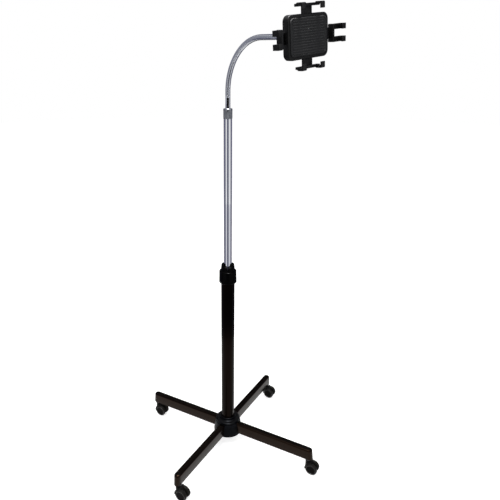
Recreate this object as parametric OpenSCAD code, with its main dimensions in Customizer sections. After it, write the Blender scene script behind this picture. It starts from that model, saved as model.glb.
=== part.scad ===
// Adjustable tablet floor stand: caster base, telescopic pole, gooseneck and four arm holder
// Millimetres, +Z up, the pole is on the Z axis, the floor is z = 0 and the holder faces -Y

/* [Base legs] */
// Pole axis to the nose of a leg
leg_reach = 295; // [260:1:330]
// Width of a leg
leg_w = 21; // [18:0.5:26]
// Height of a leg
leg_h = 34; // [28:1:36]
// Sheet thickness of a leg
leg_wall = 2; // [1.5:0.25:2.5]
// Radius of a leg's top edges
leg_edge_r = 5; // [3:0.5:7]
// Top of the legs above the floor
leg_top_z = 82; // [80:1:96]
// Turn of the front leg away from straight ahead, in degrees
leg_turn = 19.3; // [0:0.1:45]

/* [Hub] */
// Diameter of the hub at its foot
hub_low_d = 90; // [84:1:100]
// Diameter of the hub under its cap
hub_top_d = 80; // [78:1:84]
// Floor of the hub under the legs
hub_floor = 8; // [7:0.5:12]
// Diameter of the hub cap
hub_cap_d = 76; // [66:1:78]
// Height of the hub cap's ring
hub_cap_h = 9; // [6:0.5:14]
// Diameter of the hub cap's collar round the pole
hub_collar_d = 48; // [45:1:56]
// Height of that collar above the ring
hub_collar_h = 8; // [5:0.5:14]

/* [Casters] */
// Diameter of a wheel
wheel_d = 36; // [32:1:38]
// Width of a wheel
wheel_w = 10; // [9:0.5:14]
// Space between the twin wheels
wheel_gap = 9; // [8:0.5:14]
// Swivel axis to wheel axle
caster_trail = 15; // [10:0.5:16]
// Diameter of the swivel stem
stem_d = 8; // [6:0.5:9]
// Diameter of the axle
axle_d = 5; // [4:0.5:6]
// Thickness of the hood
hood_wall = 2.5; // [2:0.25:3]

/* [Pole] */
// Outer diameter of the lower tube
lower_tube_d = 40; // [37:0.5:42]
// Wall of the lower tube
lower_tube_wall = 1.5; // [1:0.1:2]
// Length of the lower tube
lower_tube_len = 550; // [450:1:650]
// Outer diameter of the upper tube
upper_tube_d = 23; // [19:0.5:25]
// Wall of the upper tube
upper_tube_wall = 1.2; // [1:0.1:2]
// Length of the upper tube
upper_tube_len = 582; // [500:1:700]
// Length of the upper tube inside the lower one as drawn
tube_overlap = 120; // [90:1:160]

/* [Twist lock] */
// Wall of the lock nut over the collet
nut_wall = 2.3; // [1.8:0.1:4]
// Height of the lock nut
nut_h = 39; // [36:1:48]
// Diameter of the collet's jaws at the top
collet_top_d = 37.2; // [35:0.2:38]
// Height of the jaws above the nut
collet_finger_h = 21; // [18:1:36]
// Turn of the notches, in degrees
collet_turn = 228; // [180:1:270]

/* [Neck] */
// Thickness of the knurled coupling ring over the upper tube
ring_wall = 0.7; // [0.6:0.05:2]
// Height of the coupling ring
ring_h = 27; // [22:0.5:34]
// Diameter of the ferrule under the neck
ferrule_d = 13.4; // [12.8:0.2:15]
// Length of the ferrule above the ring
ferrule_h = 32; // [24:1:44]
// Straight length at the foot of the neck
neck_rise = 11; // [4:1:24]
// Radius of the neck's lower curve
neck_low_r = 134; // [110:1:160]
// Radius of the neck's upper curve
neck_high_r = 116; // [95:1:140]
// Share of the quarter turn made by the lower curve, in degrees
neck_split = 52; // [40:1:60]
// Straight length at the end of the neck
neck_straight = 74; // [50:1:90]
// Diameter over the ribs
neck_d = 13.4; // [13.2:0.1:14]
// Depth of the grooves between the ribs
rib_depth = 0.5; // [0.3:0.1:0.6]
// Bore of the wound sheath
neck_bore_d = 11.2; // [11:0.1:11.6]
// Distance from rib to rib
rib_pitch = 2; // [1.8:0.1:3]
// Diameter of the bendable core
core_d = 4.2; // [3.6:0.1:4.6]

/* [Ball joint] */
// Diameter of the ball
ball_d = 20; // [18:0.5:22]
// Diameter of the stud that carries the ball
stud_d = 8; // [6:0.5:8]
// Thickness of the liner round the ball
liner_t = 2; // [1.5:0.1:2.5]
// Wall of the socket
socket_wall = 3; // [2.5:0.1:4]
// Diameter of the lock ring
lock_ring_d = 38; // [37:0.5:42]

/* [Holder] */
// Width of the holder's body
body_w = 130; // [120:1:150]
// Height of the holder's body
body_h = 92; // [88:1:110]
// Roll of the holder on its ball joint as drawn, in degrees
holder_roll = 5.5; // [-8:0.5:8]
// Corner radius of the holder's body
body_r = 14; // [12:0.5:18]
// Back wall of the shell
shell_back = 2.5; // [2:0.1:4]
// Thickness of the front plate
plate_t = 3; // [2.5:0.1:4]
// Thickness of the front pad
pad_t = 1.8; // [1:0.1:3]
// Width of the space between the side hooks as drawn
slot_w = 211; // [200:1:230]
// Height of the space between the upper and lower hooks as drawn
slot_h = 127; // [122:1:140]
// Depth of the space behind the hooks' lips
slot_t = 10; // [7:0.5:14]

/* [Arms] */
// Thickness of an arm
arm_t = 5; // [4:0.25:6]
// Width of the side arms
side_arm_w = 24; // [20:1:28]
// Width of the upper and lower arms
tall_arm_w = 30; // [24:1:36]
// Holder axis to the inner end of a side arm
side_arm_root = 16; // [15:0.5:20]
// Holder axis to the inner end of an upper or lower arm
tall_arm_root = 9; // [8:0.5:12]
// Distance between the two side hooks of an arm
side_hook_span = 27; // [24:1:34]
// Distance between the two hooks of an upper or lower arm
tall_hook_span = 60; // [48:1:70]
// Width of a hook
hook_w = 12; // [9:0.5:14]
// Thickness of the fingers that carry the hooks
finger_t = 3.5; // [3:0.25:4.5]
// Thickness of a hook's post
hook_t = 5; // [4:0.25:6]
// Reach of a hook's lip over the front
lip_reach = 9; // [6:0.5:12]
// Thickness of a hook's lip
lip_t = 3.5; // [2.5:0.25:4.5]

/* [Hidden] */
$fn = 48;

// Clearances: a running fit, a fixed seat, air round what moves, and an overshoot for cuts
run = 0.05;
seat = 0.1;
air = 0.4;
cut = 1;

// Base
leg_bottom_z = leg_top_z - leg_h;
leg_nose_x = leg_reach - leg_w / 2;
hub_sleeve = 3;
leg_root_x = lower_tube_d / 2 + hub_sleeve;
hub_bottom_z = leg_bottom_z - hub_floor;
hub_edge_r = 4;
hub_skirt = 10;
leg_bolt_d = 6;
leg_block = 16;
leg_block_h = 14;
leg_bolt_x = leg_root_x + leg_block / 2;
pole_bolt_d = 8;
bolt_head_ratio = 1.8;
bolt_head_h = 4;
bolt_recess = bolt_head_h + 0.5;
bolt_grip = 12;
tube_plug_h = 18;
function leg_angle(i) = -90 + leg_turn + 90 * (i - 1);

// Casters: each one trails towards the front leg's side
wheel_r = wheel_d / 2;
wheel_edge_r = 3.5;
wheel_air = 1;
twin_w = wheel_gap + 2 * wheel_w;
hood_r = wheel_r + wheel_air + hood_wall;
hood_w = twin_w - 3;
socket_flange = 2;
stem_show = 5;
housing_top_z = leg_bottom_z - socket_flange - stem_show;
web_t = wheel_gap - 2 * wheel_air;
web_r = 10;
boss_r = stem_d / 2 + 4;
stem_root_z = housing_top_z - 9;
stem_top_z = leg_top_z - leg_wall - 10;
axle_half = wheel_gap / 2 + wheel_w * 0.7;
face_ring = [0.5, 0.66];
face_ring_depth = 1.2;

// Pole
lower_top_z = leg_bottom_z + lower_tube_len;
upper_foot_z = lower_top_z - tube_overlap;
upper_top_z = upper_foot_z + upper_tube_len;
bush_h = 30;
bush_floor = 4;
upper_r = upper_tube_d / 2;
lower_r = lower_tube_d / 2;

// Twist lock: the collet caps the lower tube, and the nut turns round it
nut_top_z = lower_top_z + 12;
nut_bottom_z = nut_top_z - nut_h;
nut_lip = 6.6;
nut_chamfer = 2.5;
collet_skirt_t = 3;
collet_shoulder = 6;
collet_low_r = collet_top_d / 2 + 2.2;
collet_top_z = nut_top_z + collet_finger_h;
collet_skirt_r = lower_r + seat + collet_skirt_t;
nut_r = collet_skirt_r + air + nut_wall;
slit_w = 1;
notch_half_w = upper_r + 0.8;
notch_depth = 9;
notch_rise = 2;

// Coupling and ferrule
ring_r = upper_r + seat + ring_wall;
ring_foot_z = upper_top_z - 14;
ring_top_z = ring_foot_z + ring_h;
ring_round = 3;
knurl_count = 48;
knurl_depth = 0.25;
knurl_inset = 0.15;
ferrule_r = ferrule_d / 2;
ferrule_flange = 3;
neck_base_z = ring_top_z + ferrule_h;
core_grip = 20;

// Neck route: a straight, two arcs and a straight, from straight up to straight ahead
neck_parts = 6;
low_len = neck_low_r * neck_split * PI / 180;
high_len = neck_high_r * (90 - neck_split) * PI / 180;
neck_len = neck_rise + low_len + high_len + neck_straight;
part_len = neck_len / neck_parts;
neck_play = 25;
rib_r = neck_d / 2;
groove_r = rib_r - rib_depth;
neck_gap = 2 * (groove_r * sin(neck_play) + 0.35) / (1 + cos(neck_play));
core_r = core_d / 2;
knuckle_r = core_r + 1.5;
cup_wall = 0.95;
cup_lip = 1.2;
cup_len = 6;
core_lead = 9;
knee_r = core_r + 0.3;
hose_sides = 8;
bore_step = 8;
function neck_turn(s) =
    let (t = s - neck_rise)
    t < 0 ? 0 :
    t < low_len ? t / neck_low_r * 180 / PI :
    t < low_len + high_len ? neck_split + (t - low_len) / neck_high_r * 180 / PI : 90;
function neck_point(s) =
    let (t = s - neck_rise, a = neck_turn(s), bend_z = neck_base_z + neck_rise)
    t < 0 ? [0, 0, neck_base_z + s] :
    t < low_len ? [0, -neck_low_r * (1 - cos(a)), bend_z + neck_low_r * sin(a)] :
    let (
        reach = neck_low_r * (1 - cos(neck_split)) + neck_high_r * (cos(neck_split) - cos(a)),
        rise = neck_low_r * sin(neck_split) + neck_high_r * (sin(a) - sin(neck_split))
    )
    [0, -reach - max(0, t - low_len - high_len), bend_z + rise];
function along(a) = [0, -sin(a), cos(a)];

// Ball joint, measured from the pole axis towards the front
neck_end = -neck_point(neck_len)[1];
holder_z = neck_point(neck_len)[2];
end_ferrule_r = 7.2;
end_ferrule_len = 22;
stud_grip = 12;
stud_show = 20;
ball_r = ball_d / 2;
ball_reach = neck_end + end_ferrule_len + stud_show;
liner_in_r = ball_r + run;
liner_out_r = liner_in_r + liner_t;
socket_in_r = liner_out_r + run;
socket_r = socket_in_r + socket_wall;
liner_mouth = 6;
socket_mouth = 5;
socket_base = 3.3;
shell_reach = ball_reach + socket_in_r + socket_base;
lock_lip = 2.2;
lock_len = 15.5;
lock_flutes = 12;
flute_r = 2.2;

// Holder: depths are measured from the shell's back towards the front
lane_gap = 0.2;
lane_h = arm_t + 2 * lane_gap;
plate_d = shell_back + 2 * lane_h;
pad_d = plate_d + plate_t;
slot_d = pad_d + pad_t;
face_d = slot_d + slot_t;
pad_inset = 7;
shell_rib = 2.5;
screw_r = 1.5;
screw_inset = 9;
screw_head_r = 3.2;
screw_head_h = 2;
pocket_r = 3;
hook_gap = 0.3;
hook_round = 2;

// Arms: the side risers stay clear of the body at the end of their travel, the others stand at their hooks
side_travel = 13;
riser_t = 6;
side_riser = body_w / 2 + side_travel + 2;
tall_riser = slot_h / 2 - riser_t / 2;

module place_leg(i) {
    rotate([0, 0, leg_angle(i)]) children();
}

// Puts a caster's own frame at its swivel axis, with +X along the trail
module place_caster(i) {
    place_leg(i)
        translate([leg_nose_x, 0, 0])
            rotate([0, 0, leg_angle(1) - leg_angle(i)]) children();
}

// Section of a leg with rounded top edges
module leg_section(w, h, r) {
    translate([-w / 2, 0]) square([w, h - r]);
    translate([-w / 2 + r, 0]) square([w - 2 * r, h]);
    for (side = [-1, 1]) translate([side * (w / 2 - r), h - r]) circle(r);
}

// Straight bar with a half round nose
module leg_bar(w, h, r, from) {
    translate([from, 0, 0])
        rotate([90, 0, 90]) linear_extrude(leg_nose_x - from) leg_section(w, h, r);
    translate([leg_nose_x, 0, 0])
        rotate_extrude() intersection() {
            leg_section(w, h, r);
            square([w, h]);
        }
}

module base_hub() {
    color("#17181a") difference() {
        translate([0, 0, hub_bottom_z]) rotate_extrude() hub_section();
        translate([0, 0, leg_bottom_z]) cylinder(r = lower_r + seat, h = leg_h + cut);
        bolt_hole(0, pole_bolt_d);
        for (i = [1:4]) place_leg(i) {
            translate([leg_root_x - seat, -leg_w / 2 - seat, leg_bottom_z])
                cube([hub_low_d, leg_w + 2 * seat, leg_h + cut]);
            bolt_hole(leg_bolt_x, leg_bolt_d);
        }
    }
}

module hub_section() {
    low_r = hub_low_d / 2;
    hub_h = leg_top_z - hub_bottom_z;
    square([low_r - hub_edge_r, hub_edge_r + cut]);
    translate([low_r - hub_edge_r, hub_edge_r]) circle(hub_edge_r);
    polygon([
        [0, hub_edge_r],
        [low_r, hub_edge_r],
        [low_r, hub_skirt],
        [hub_top_d / 2, hub_h],
        [0, hub_h]
    ]);
}

// Clearance hole through the hub's floor, with a recess for the head
module bolt_hole(x, d) {
    translate([x, 0, hub_bottom_z - cut]) cylinder(r = d / 2 + seat, h = hub_floor + 2 * cut);
    translate([x, 0, hub_bottom_z - cut]) cylinder(r = d / 2 * bolt_head_ratio + air, h = bolt_recess + cut);
}

module bolt(x, d) {
    head_z = hub_bottom_z + bolt_recess - bolt_head_h;
    translate([x, 0, head_z]) difference() {
        cylinder(r = d / 2 * bolt_head_ratio, h = bolt_head_h);
        translate([0, 0, -cut]) cylinder(r = d / 2, h = bolt_head_h / 2 + cut, $fn = 6);
    }
    translate([x, 0, head_z + bolt_head_h - seat])
        cylinder(r = d / 2, h = leg_bottom_z + bolt_grip - head_z - bolt_head_h);
}

module hub_cap() {
    collar_r = hub_collar_d / 2;
    round_r = 2.5;
    color("#1b1c20") translate([0, 0, leg_top_z]) rotate_extrude() difference() {
        union() {
            square([hub_cap_d / 2 - round_r, hub_cap_h]);
            square([hub_cap_d / 2, hub_cap_h - round_r]);
            translate([hub_cap_d / 2 - round_r, hub_cap_h - round_r]) circle(round_r);
            square([collar_r - round_r, hub_cap_h + hub_collar_h]);
            square([collar_r, hub_cap_h + hub_collar_h - round_r]);
            translate([collar_r - round_r, hub_cap_h + hub_collar_h - round_r]) circle(round_r);
        }
        translate([0, -cut]) square([lower_r + seat, hub_cap_h + hub_collar_h + 2 * cut]);
    }
}

// Pressed steel channel, open below, with a welded block for its bolt
module leg(i) {
    inner_w = leg_w - 2 * leg_wall;
    inner_r = leg_edge_r - leg_wall;
    color("#241c1a") place_leg(i) translate([0, 0, leg_bottom_z]) difference() {
        union() {
            difference() {
                leg_bar(leg_w, leg_h, leg_edge_r, leg_root_x);
                translate([0, 0, -cut]) leg_bar(inner_w, leg_h - leg_wall + cut, inner_r, leg_root_x - cut);
            }
            translate([leg_root_x, -leg_w / 2 + leg_wall / 2, 0])
                cube([leg_block, leg_w - leg_wall, leg_block_h]);
        }
        translate([leg_bolt_x, 0, -cut]) cylinder(r = leg_bolt_d / 2 + seat, h = leg_block_h + 2 * cut);
    }
}

module leg_bolts() {
    color("#7d7f82") for (i = [1:4]) place_leg(i) bolt(leg_bolt_x, leg_bolt_d);
}

module pole_bolt() {
    color("#7d7f82") bolt(0, pole_bolt_d);
}

// Sleeves pushed into the noses of the legs, in which the caster stems turn
module caster_sockets() {
    sleeve_r = leg_w / 2 - leg_wall - seat;
    color("#2a2b2d") for (i = [1:4]) place_caster(i) difference() {
        union() {
            translate([0, 0, leg_bottom_z - socket_flange]) cylinder(r = leg_w / 2 - seat, h = socket_flange);
            translate([0, 0, leg_bottom_z - cut])
                cylinder(r = sleeve_r, h = leg_h - leg_wall - leg_edge_r + cut);
        }
        translate([0, 0, leg_bottom_z - socket_flange - cut])
            cylinder(r = stem_d / 2 + run, h = stem_top_z - leg_bottom_z + socket_flange + cut + air);
    }
}

module lower_tube() {
    color("#1c1615") translate([0, 0, leg_bottom_z]) difference() {
        cylinder(r = lower_r, h = lower_tube_len);
        translate([0, 0, tube_plug_h]) cylinder(r = lower_r - lower_tube_wall, h = lower_tube_len);
        translate([0, 0, -cut]) cylinder(r = pole_bolt_d / 2 + seat, h = bolt_grip + 2 * cut);
    }
}

// Split collet: a skirt over the tube's end and two tapered jaws round the upper tube
module pole_collet() {
    finger_r = collet_top_d / 2;
    tip = 2.5;
    bore_r = upper_r + run;
    color("#0e0e0f") difference() {
        rotate_extrude() polygon([
            [lower_r + seat, nut_bottom_z + nut_lip + air],
            [collet_skirt_r, nut_bottom_z + nut_lip + air],
            [collet_skirt_r, lower_top_z + collet_shoulder],
            [collet_low_r, lower_top_z + collet_shoulder],
            [collet_low_r, nut_top_z],
            [finger_r, collet_top_z - tip],
            [finger_r - tip, collet_top_z],
            [bore_r, collet_top_z],
            [bore_r, lower_top_z],
            [lower_r + seat, lower_top_z]
        ]);
        for (k = [0:1]) rotate([0, 0, collet_turn + 180 * k]) {
            translate([0, -slit_w / 2, nut_top_z]) cube([nut_r, slit_w, collet_finger_h + cut]);
            translate([0, 0, collet_top_z - notch_depth])
                rotate([90, 0, 90]) linear_extrude(nut_r) polygon([
                    [0, 0],
                    [notch_half_w, notch_rise],
                    [notch_half_w + 1, notch_depth + cut],
                    [-notch_half_w - 1, notch_depth + cut],
                    [-notch_half_w, notch_rise]
                ]);
        }
    }
}

// Knob that draws in on the collet, with a chamfered foot and a rounded shoulder
module lock_nut() {
    shoulder = 4.5;
    top_r = nut_r - 0.8;
    lip_r = collet_low_r + air;
    color("#0c0c0d") difference() {
        rotate_extrude() {
            polygon([
                [0, nut_bottom_z],
                [nut_r - 1.5 * nut_chamfer, nut_bottom_z],
                [nut_r, nut_bottom_z + nut_chamfer],
                [top_r, nut_top_z - shoulder],
                [top_r - shoulder, nut_top_z],
                [0, nut_top_z]
            ]);
            translate([top_r - shoulder, nut_top_z - shoulder]) circle(shoulder);
        }
        translate([0, 0, nut_bottom_z - cut]) cylinder(r = lower_r + air, h = nut_lip + 2 * cut);
        translate([0, 0, nut_bottom_z + nut_lip])
            cylinder(r = collet_skirt_r + air, h = lower_top_z + collet_shoulder + air - nut_bottom_z - nut_lip);
        translate([0, 0, nut_bottom_z + nut_lip]) cylinder(r = lip_r, h = nut_h);
    }
}

// Bush at the foot of the upper tube: it slides in the lower tube, and the upper tube turns in it
module guide_bush() {
    color("#d9d6cc") translate([0, 0, upper_foot_z - bush_floor]) difference() {
        cylinder(r = lower_r - lower_tube_wall - run, h = bush_h);
        translate([0, 0, bush_floor]) cylinder(r = upper_r + run, h = bush_h);
        translate([0, 0, -cut]) cylinder(r = upper_r - 2 * upper_tube_wall, h = bush_h);
    }
}

module upper_tube() {
    color("#c9ccd2") translate([0, 0, upper_foot_z]) difference() {
        cylinder(r = upper_r, h = upper_tube_len);
        translate([0, 0, -cut]) cylinder(r = upper_r - upper_tube_wall, h = upper_tube_len + 2 * cut);
    }
}

module coupling_ring() {
    knurl_h = ring_h - ring_round - 2;
    color("#4b4e52") translate([0, 0, ring_foot_z]) difference() {
        union() {
            linear_extrude(knurl_h) polygon([
                for (k = [0:2 * knurl_count - 1])
                    let (r = ring_r - knurl_inset - (k % 2) * knurl_depth, a = 180 * k / knurl_count)
                    [r * cos(a), r * sin(a)]
            ]);
            translate([0, 0, knurl_h]) rotate_extrude() {
                square([ring_r - ring_round, ring_round + 2]);
                square([ring_r, 2]);
                translate([ring_r - ring_round, 2]) intersection() {
                    circle(ring_round);
                    square([ring_round, ring_round]);
                }
            }
        }
        translate([0, 0, -cut])
            cylinder(r = upper_r + seat, h = upper_top_z + ferrule_flange + seat - ring_foot_z + cut);
        cylinder(r = ferrule_r + seat, h = ring_h + cut);
    }
}

module lower_ferrule() {
    chamfer = 0.8;
    color("#c4c8ce") difference() {
        rotate_extrude() polygon([
            [0, upper_top_z],
            [upper_r - seat, upper_top_z],
            [upper_r - seat, upper_top_z + ferrule_flange],
            [ferrule_r, upper_top_z + ferrule_flange],
            [ferrule_r, neck_base_z - chamfer],
            [ferrule_r - chamfer, neck_base_z],
            [0, neck_base_z]
        ]);
        translate([0, 0, neck_base_z - core_grip - air]) cylinder(r = core_r + seat, h = core_grip + cut);
    }
}

// One housing: a web between the wheels, a hood over them and a boss for the stem
module caster_housing(i) {
    lead = 100;
    trail = 192;
    color("#1f2022") place_caster(i) difference() {
        union() {
            difference() {
                union() {
                    place_axle() linear_extrude(hood_w, center = true) hood_sector(lead, trail);
                    translate([0, 0, wheel_r]) cylinder(r = boss_r, h = housing_top_z - wheel_r);
                }
                place_axle() cylinder(r = wheel_r + wheel_air, h = twin_w + 2 * cut, center = true);
            }
            place_axle() linear_extrude(web_t, center = true) {
                circle(web_r);
                intersection() {
                    circle(hood_r - hood_wall / 2);
                    sector(lead, trail, hood_r);
                }
            }
        }
        translate([0, 0, stem_root_z]) cylinder(r = stem_d / 2 + seat / 2, h = housing_top_z);
        place_axle() cylinder(r = axle_d / 2 + seat / 2, h = twin_w, center = true);
    }
}

// Puts +Z along the axle
module place_axle() {
    translate([caster_trail, 0, wheel_r]) rotate([90, 0, 0]) children();
}

module sector(from, to, r) {
    far = 2 * r;
    mid = (from + to) / 2;
    polygon([
        [0, 0],
        for (a = [from, (from + mid) / 2, mid, (mid + to) / 2, to]) [far * cos(a), far * sin(a)]
    ]);
}

module hood_sector(from, to) {
    intersection() {
        circle(hood_r);
        sector(from, to, hood_r);
    }
}

// Swivel stem and axle, both pressed into the housing
module caster_pins(i) {
    groove = 1;
    color("#8a8c8f") place_caster(i) {
        difference() {
            translate([0, 0, stem_root_z]) cylinder(r = stem_d / 2, h = stem_top_z - stem_root_z);
            translate([0, 0, stem_top_z - 4 * groove]) difference() {
                cylinder(r = stem_d, h = groove);
                cylinder(r = stem_d / 2 - groove / 2, h = groove);
            }
        }
        place_axle() cylinder(r = axle_d / 2, h = 2 * axle_half, center = true);
    }
}

module caster_wheel(i, side) {
    color("#2b2c2e") place_caster(i)
        translate([caster_trail, side * wheel_gap / 2, wheel_r])
            rotate([-90 * side, 0, 0]) rotate_extrude() difference() {
                union() {
                    square([wheel_r - wheel_edge_r, wheel_w]);
                    translate([0, wheel_edge_r]) square([wheel_r, wheel_w - 2 * wheel_edge_r]);
                    for (h = [wheel_edge_r, wheel_w - wheel_edge_r])
                        translate([wheel_r - wheel_edge_r, h]) circle(wheel_edge_r);
                }
                translate([0, -cut]) square([axle_d / 2 + run, axle_half - wheel_gap / 2 + run + cut]);
                translate([face_ring[0] * wheel_r, wheel_w - face_ring_depth])
                    square([(face_ring[1] - face_ring[0]) * wheel_r, wheel_w]);
                translate([axle_d, -cut]) square([wheel_r - wheel_edge_r - axle_d - 2, wheel_w / 3 + cut]);
            }
}

// Wound sheath of one stretch of the neck: ribs outside, a plain bore inside
module neck_hose(k) {
    from = (k - 1) * part_len + (k > 1 ? neck_gap / 2 : 0);
    to = k * part_len - (k < neck_parts ? neck_gap / 2 : 0);
    ribs = floor((to - from) / rib_pitch);
    half_rib = (to - from) / ribs / 2;
    bores = ceil((to - from) / bore_step);
    outer = [for (m = [0:2 * ribs]) neck_ring(from + m * half_rib, m % 2 == 0 ? groove_r : rib_r)];
    inner = [for (m = [0:bores]) neck_ring(to - m * (to - from) / bores, neck_bore_d / 2)];
    rings = concat(outer, inner);
    count = len(rings);
    color("#a9adb3") polyhedron(
        points = [for (ring = rings, p = ring) p],
        faces = [
            for (m = [0:count - 1], j = [0:hose_sides - 1])
                let (
                    a = m * hose_sides,
                    b = (m + 1) % count * hose_sides,
                    n = (j + 1) % hose_sides
                )
                each [[a + j, b + j, b + n], [a + j, b + n, a + n]]
        ]
    );
}

function neck_ring(s, r) =
    let (p = neck_point(s), a = neck_turn(s))
    [for (j = [0:hose_sides - 1])
        let (t = 360 * (j + 0.5) / hose_sides)
        p + r * (cos(t) * [1, 0, 0] + sin(t) * [0, cos(a), sin(a)])];

module rod(p, q, r) {
    d = q - p;
    translate(p) rotate([atan2(-d[1], d[2]), 0, 0]) cylinder(r = r, h = norm(d));
}

// Bendable core of one stretch, with a knuckle at its far end and a cup at its near end
module neck_core(k) {
    s0 = (k - 1) * part_len;
    s1 = k * part_len;
    a0 = neck_turn(s0);
    a1 = neck_turn(s1);
    near = neck_point(s0);
    far = neck_point(s1);
    first = near + core_lead * along(a0);
    last = far - core_lead * along(a1);
    color("#6d6f73") {
        rod(k > 1 ? near + cup_len * 0.8 * along(a0) : near - core_grip * along(a0), first, core_r);
        translate(first) sphere(knee_r);
        rod(first, last, core_r);
        translate(last) sphere(knee_r);
        rod(last, k < neck_parts ? far : far + end_grip() * along(a1), core_r);
        if (k < neck_parts) translate(far) sphere(knuckle_r);
        if (k > 1) translate(near) rotate([a0, 0, 0]) difference() {
            translate([0, 0, -cup_lip]) cylinder(r = knuckle_r + run + cup_wall, h = cup_lip + cup_len);
            sphere(knuckle_r + run);
        }
    }
}

// Depth of the core in the end ferrule
function end_grip() = end_ferrule_len - stud_grip - 2;

// Puts +Z towards the front, with z = 0 at a distance from the pole axis
module place_front(reach) {
    translate([0, -reach, holder_z]) rotate([90, 0, 0]) children();
}

// The same for the holder, which is rolled on its ball joint
module place_holder() {
    place_front(shell_reach) rotate([0, 0, holder_roll]) children();
}

module end_ferrule() {
    chamfer = 1;
    color("#c4c8ce") place_front(neck_end) difference() {
        rotate_extrude() polygon([
            [0, 0],
            [end_ferrule_r - chamfer, 0],
            [end_ferrule_r, chamfer],
            [end_ferrule_r, end_ferrule_len - chamfer],
            [end_ferrule_r - chamfer, end_ferrule_len],
            [0, end_ferrule_len]
        ]);
        translate([0, 0, -cut]) cylinder(r = core_r + seat, h = end_grip() + seat + cut);
        translate([0, 0, end_ferrule_len - stud_grip]) cylinder(r = stud_d / 2 + run, h = stud_grip + cut);
    }
}

module ball_stud() {
    color("#b9bcc2") place_front(ball_reach) {
        sphere(ball_r);
        translate([0, 0, -stud_show - stud_grip + air]) cylinder(r = stud_d / 2, h = stud_show + stud_grip - air);
    }
}

// Friction liner that snaps over the ball inside the socket
module ball_liner() {
    color("#e4e1d6") place_front(ball_reach) difference() {
        sphere(liner_out_r);
        sphere(liner_in_r);
        translate([0, 0, -2 * liner_out_r - liner_mouth])
            cylinder(r = 2 * liner_out_r, h = 2 * liner_out_r);
    }
}

module ball_lock_ring() {
    inner_r = socket_r + air;
    lip_r = socket_in_r - 0.5;
    color("#111214") place_front(ball_reach) translate([0, 0, -socket_mouth - air - lock_lip]) difference() {
        linear_extrude(lock_len) difference() {
            circle(lock_ring_d / 2);
            for (k = [0:lock_flutes - 1]) rotate(360 * k / lock_flutes)
                translate([lock_ring_d / 2 + flute_r / 2, 0]) circle(flute_r);
        }
        translate([0, 0, -cut]) cylinder(r = lip_r, h = lock_len);
        translate([0, 0, lock_lip]) cylinder(r = inner_r, h = lock_len);
    }
}

module rounded_rect(w, h, r) {
    square([w - 2 * r, h], center = true);
    square([w, h - 2 * r], center = true);
    for (x = [-1, 1], y = [-1, 1]) translate([x * (w / 2 - r), y * (h / 2 - r)]) circle(r);
}

module at_screws() {
    for (x = [-1, 1], y = [-1, 1])
        translate([x * (body_w / 2 - screw_inset), y * (body_h / 2 - screw_inset), 0]) children();
}

// Moulded shell with two crossing lanes for the arms and the socket for the ball behind it
module back_shell() {
    pocket_x = tall_arm_w / 2 + lane_gap + shell_rib;
    pocket_y = side_arm_w / 2 + lane_gap + shell_rib;
    pocket_w = body_w / 2 - screw_inset - screw_head_r - shell_rib - pocket_x;
    pocket_h = body_h / 2 - shell_rib - pocket_y;
    color("#151617") difference() {
        union() {
            place_holder() linear_extrude(plate_d) rounded_rect(body_w, body_h, body_r);
            place_front(ball_reach) translate([0, 0, -socket_mouth])
                cylinder(r = socket_r, h = shell_reach - ball_reach + socket_mouth + shell_back / 2);
        }
        place_front(ball_reach) sphere(socket_in_r);
        place_holder() {
            translate([-body_w, -side_arm_w / 2 - lane_gap, shell_back])
                cube([2 * body_w, side_arm_w + 2 * lane_gap, lane_h]);
            translate([-tall_arm_w / 2 - lane_gap, -body_h, shell_back + lane_h])
                cube([tall_arm_w + 2 * lane_gap, 2 * body_h, lane_h + cut]);
            for (x = [-1, 1], y = [-1, 1])
                translate([x * (pocket_x + pocket_w / 2), y * (pocket_y + pocket_h / 2), shell_back])
                    linear_extrude(plate_d) rounded_rect(pocket_w, pocket_h, pocket_r);
            at_screws() {
                translate([0, 0, -cut]) cylinder(r = screw_r + seat, h = plate_d + 2 * cut);
                translate([0, 0, -cut]) cylinder(r = screw_head_r + seat, h = screw_head_h + seat + cut);
            }
        }
    }
}

module front_plate() {
    color("#151617") place_holder() translate([0, 0, plate_d]) difference() {
        linear_extrude(plate_t) rounded_rect(body_w, body_h, body_r);
        translate([0, 0, -cut]) at_screws() cylinder(r = screw_r + seat / 2, h = plate_t * 0.7 + cut);
    }
}

module front_pad() {
    color("#26272a") place_holder() translate([0, 0, pad_d])
        linear_extrude(pad_t) rounded_rect(body_w - 2 * pad_inset, body_h - 2 * pad_inset, body_r - pad_inset / 2);
}

module shell_screws() {
    color("#7d7f82") place_holder() at_screws() {
        difference() {
            cylinder(r = screw_head_r, h = screw_head_h);
            translate([0, 0, -cut]) cylinder(r = screw_r, h = screw_head_h / 2 + cut, $fn = 6);
        }
        translate([0, 0, screw_head_h / 2]) cylinder(r = screw_r, h = plate_d + plate_t / 2 - screw_head_h / 2);
    }
}

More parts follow.
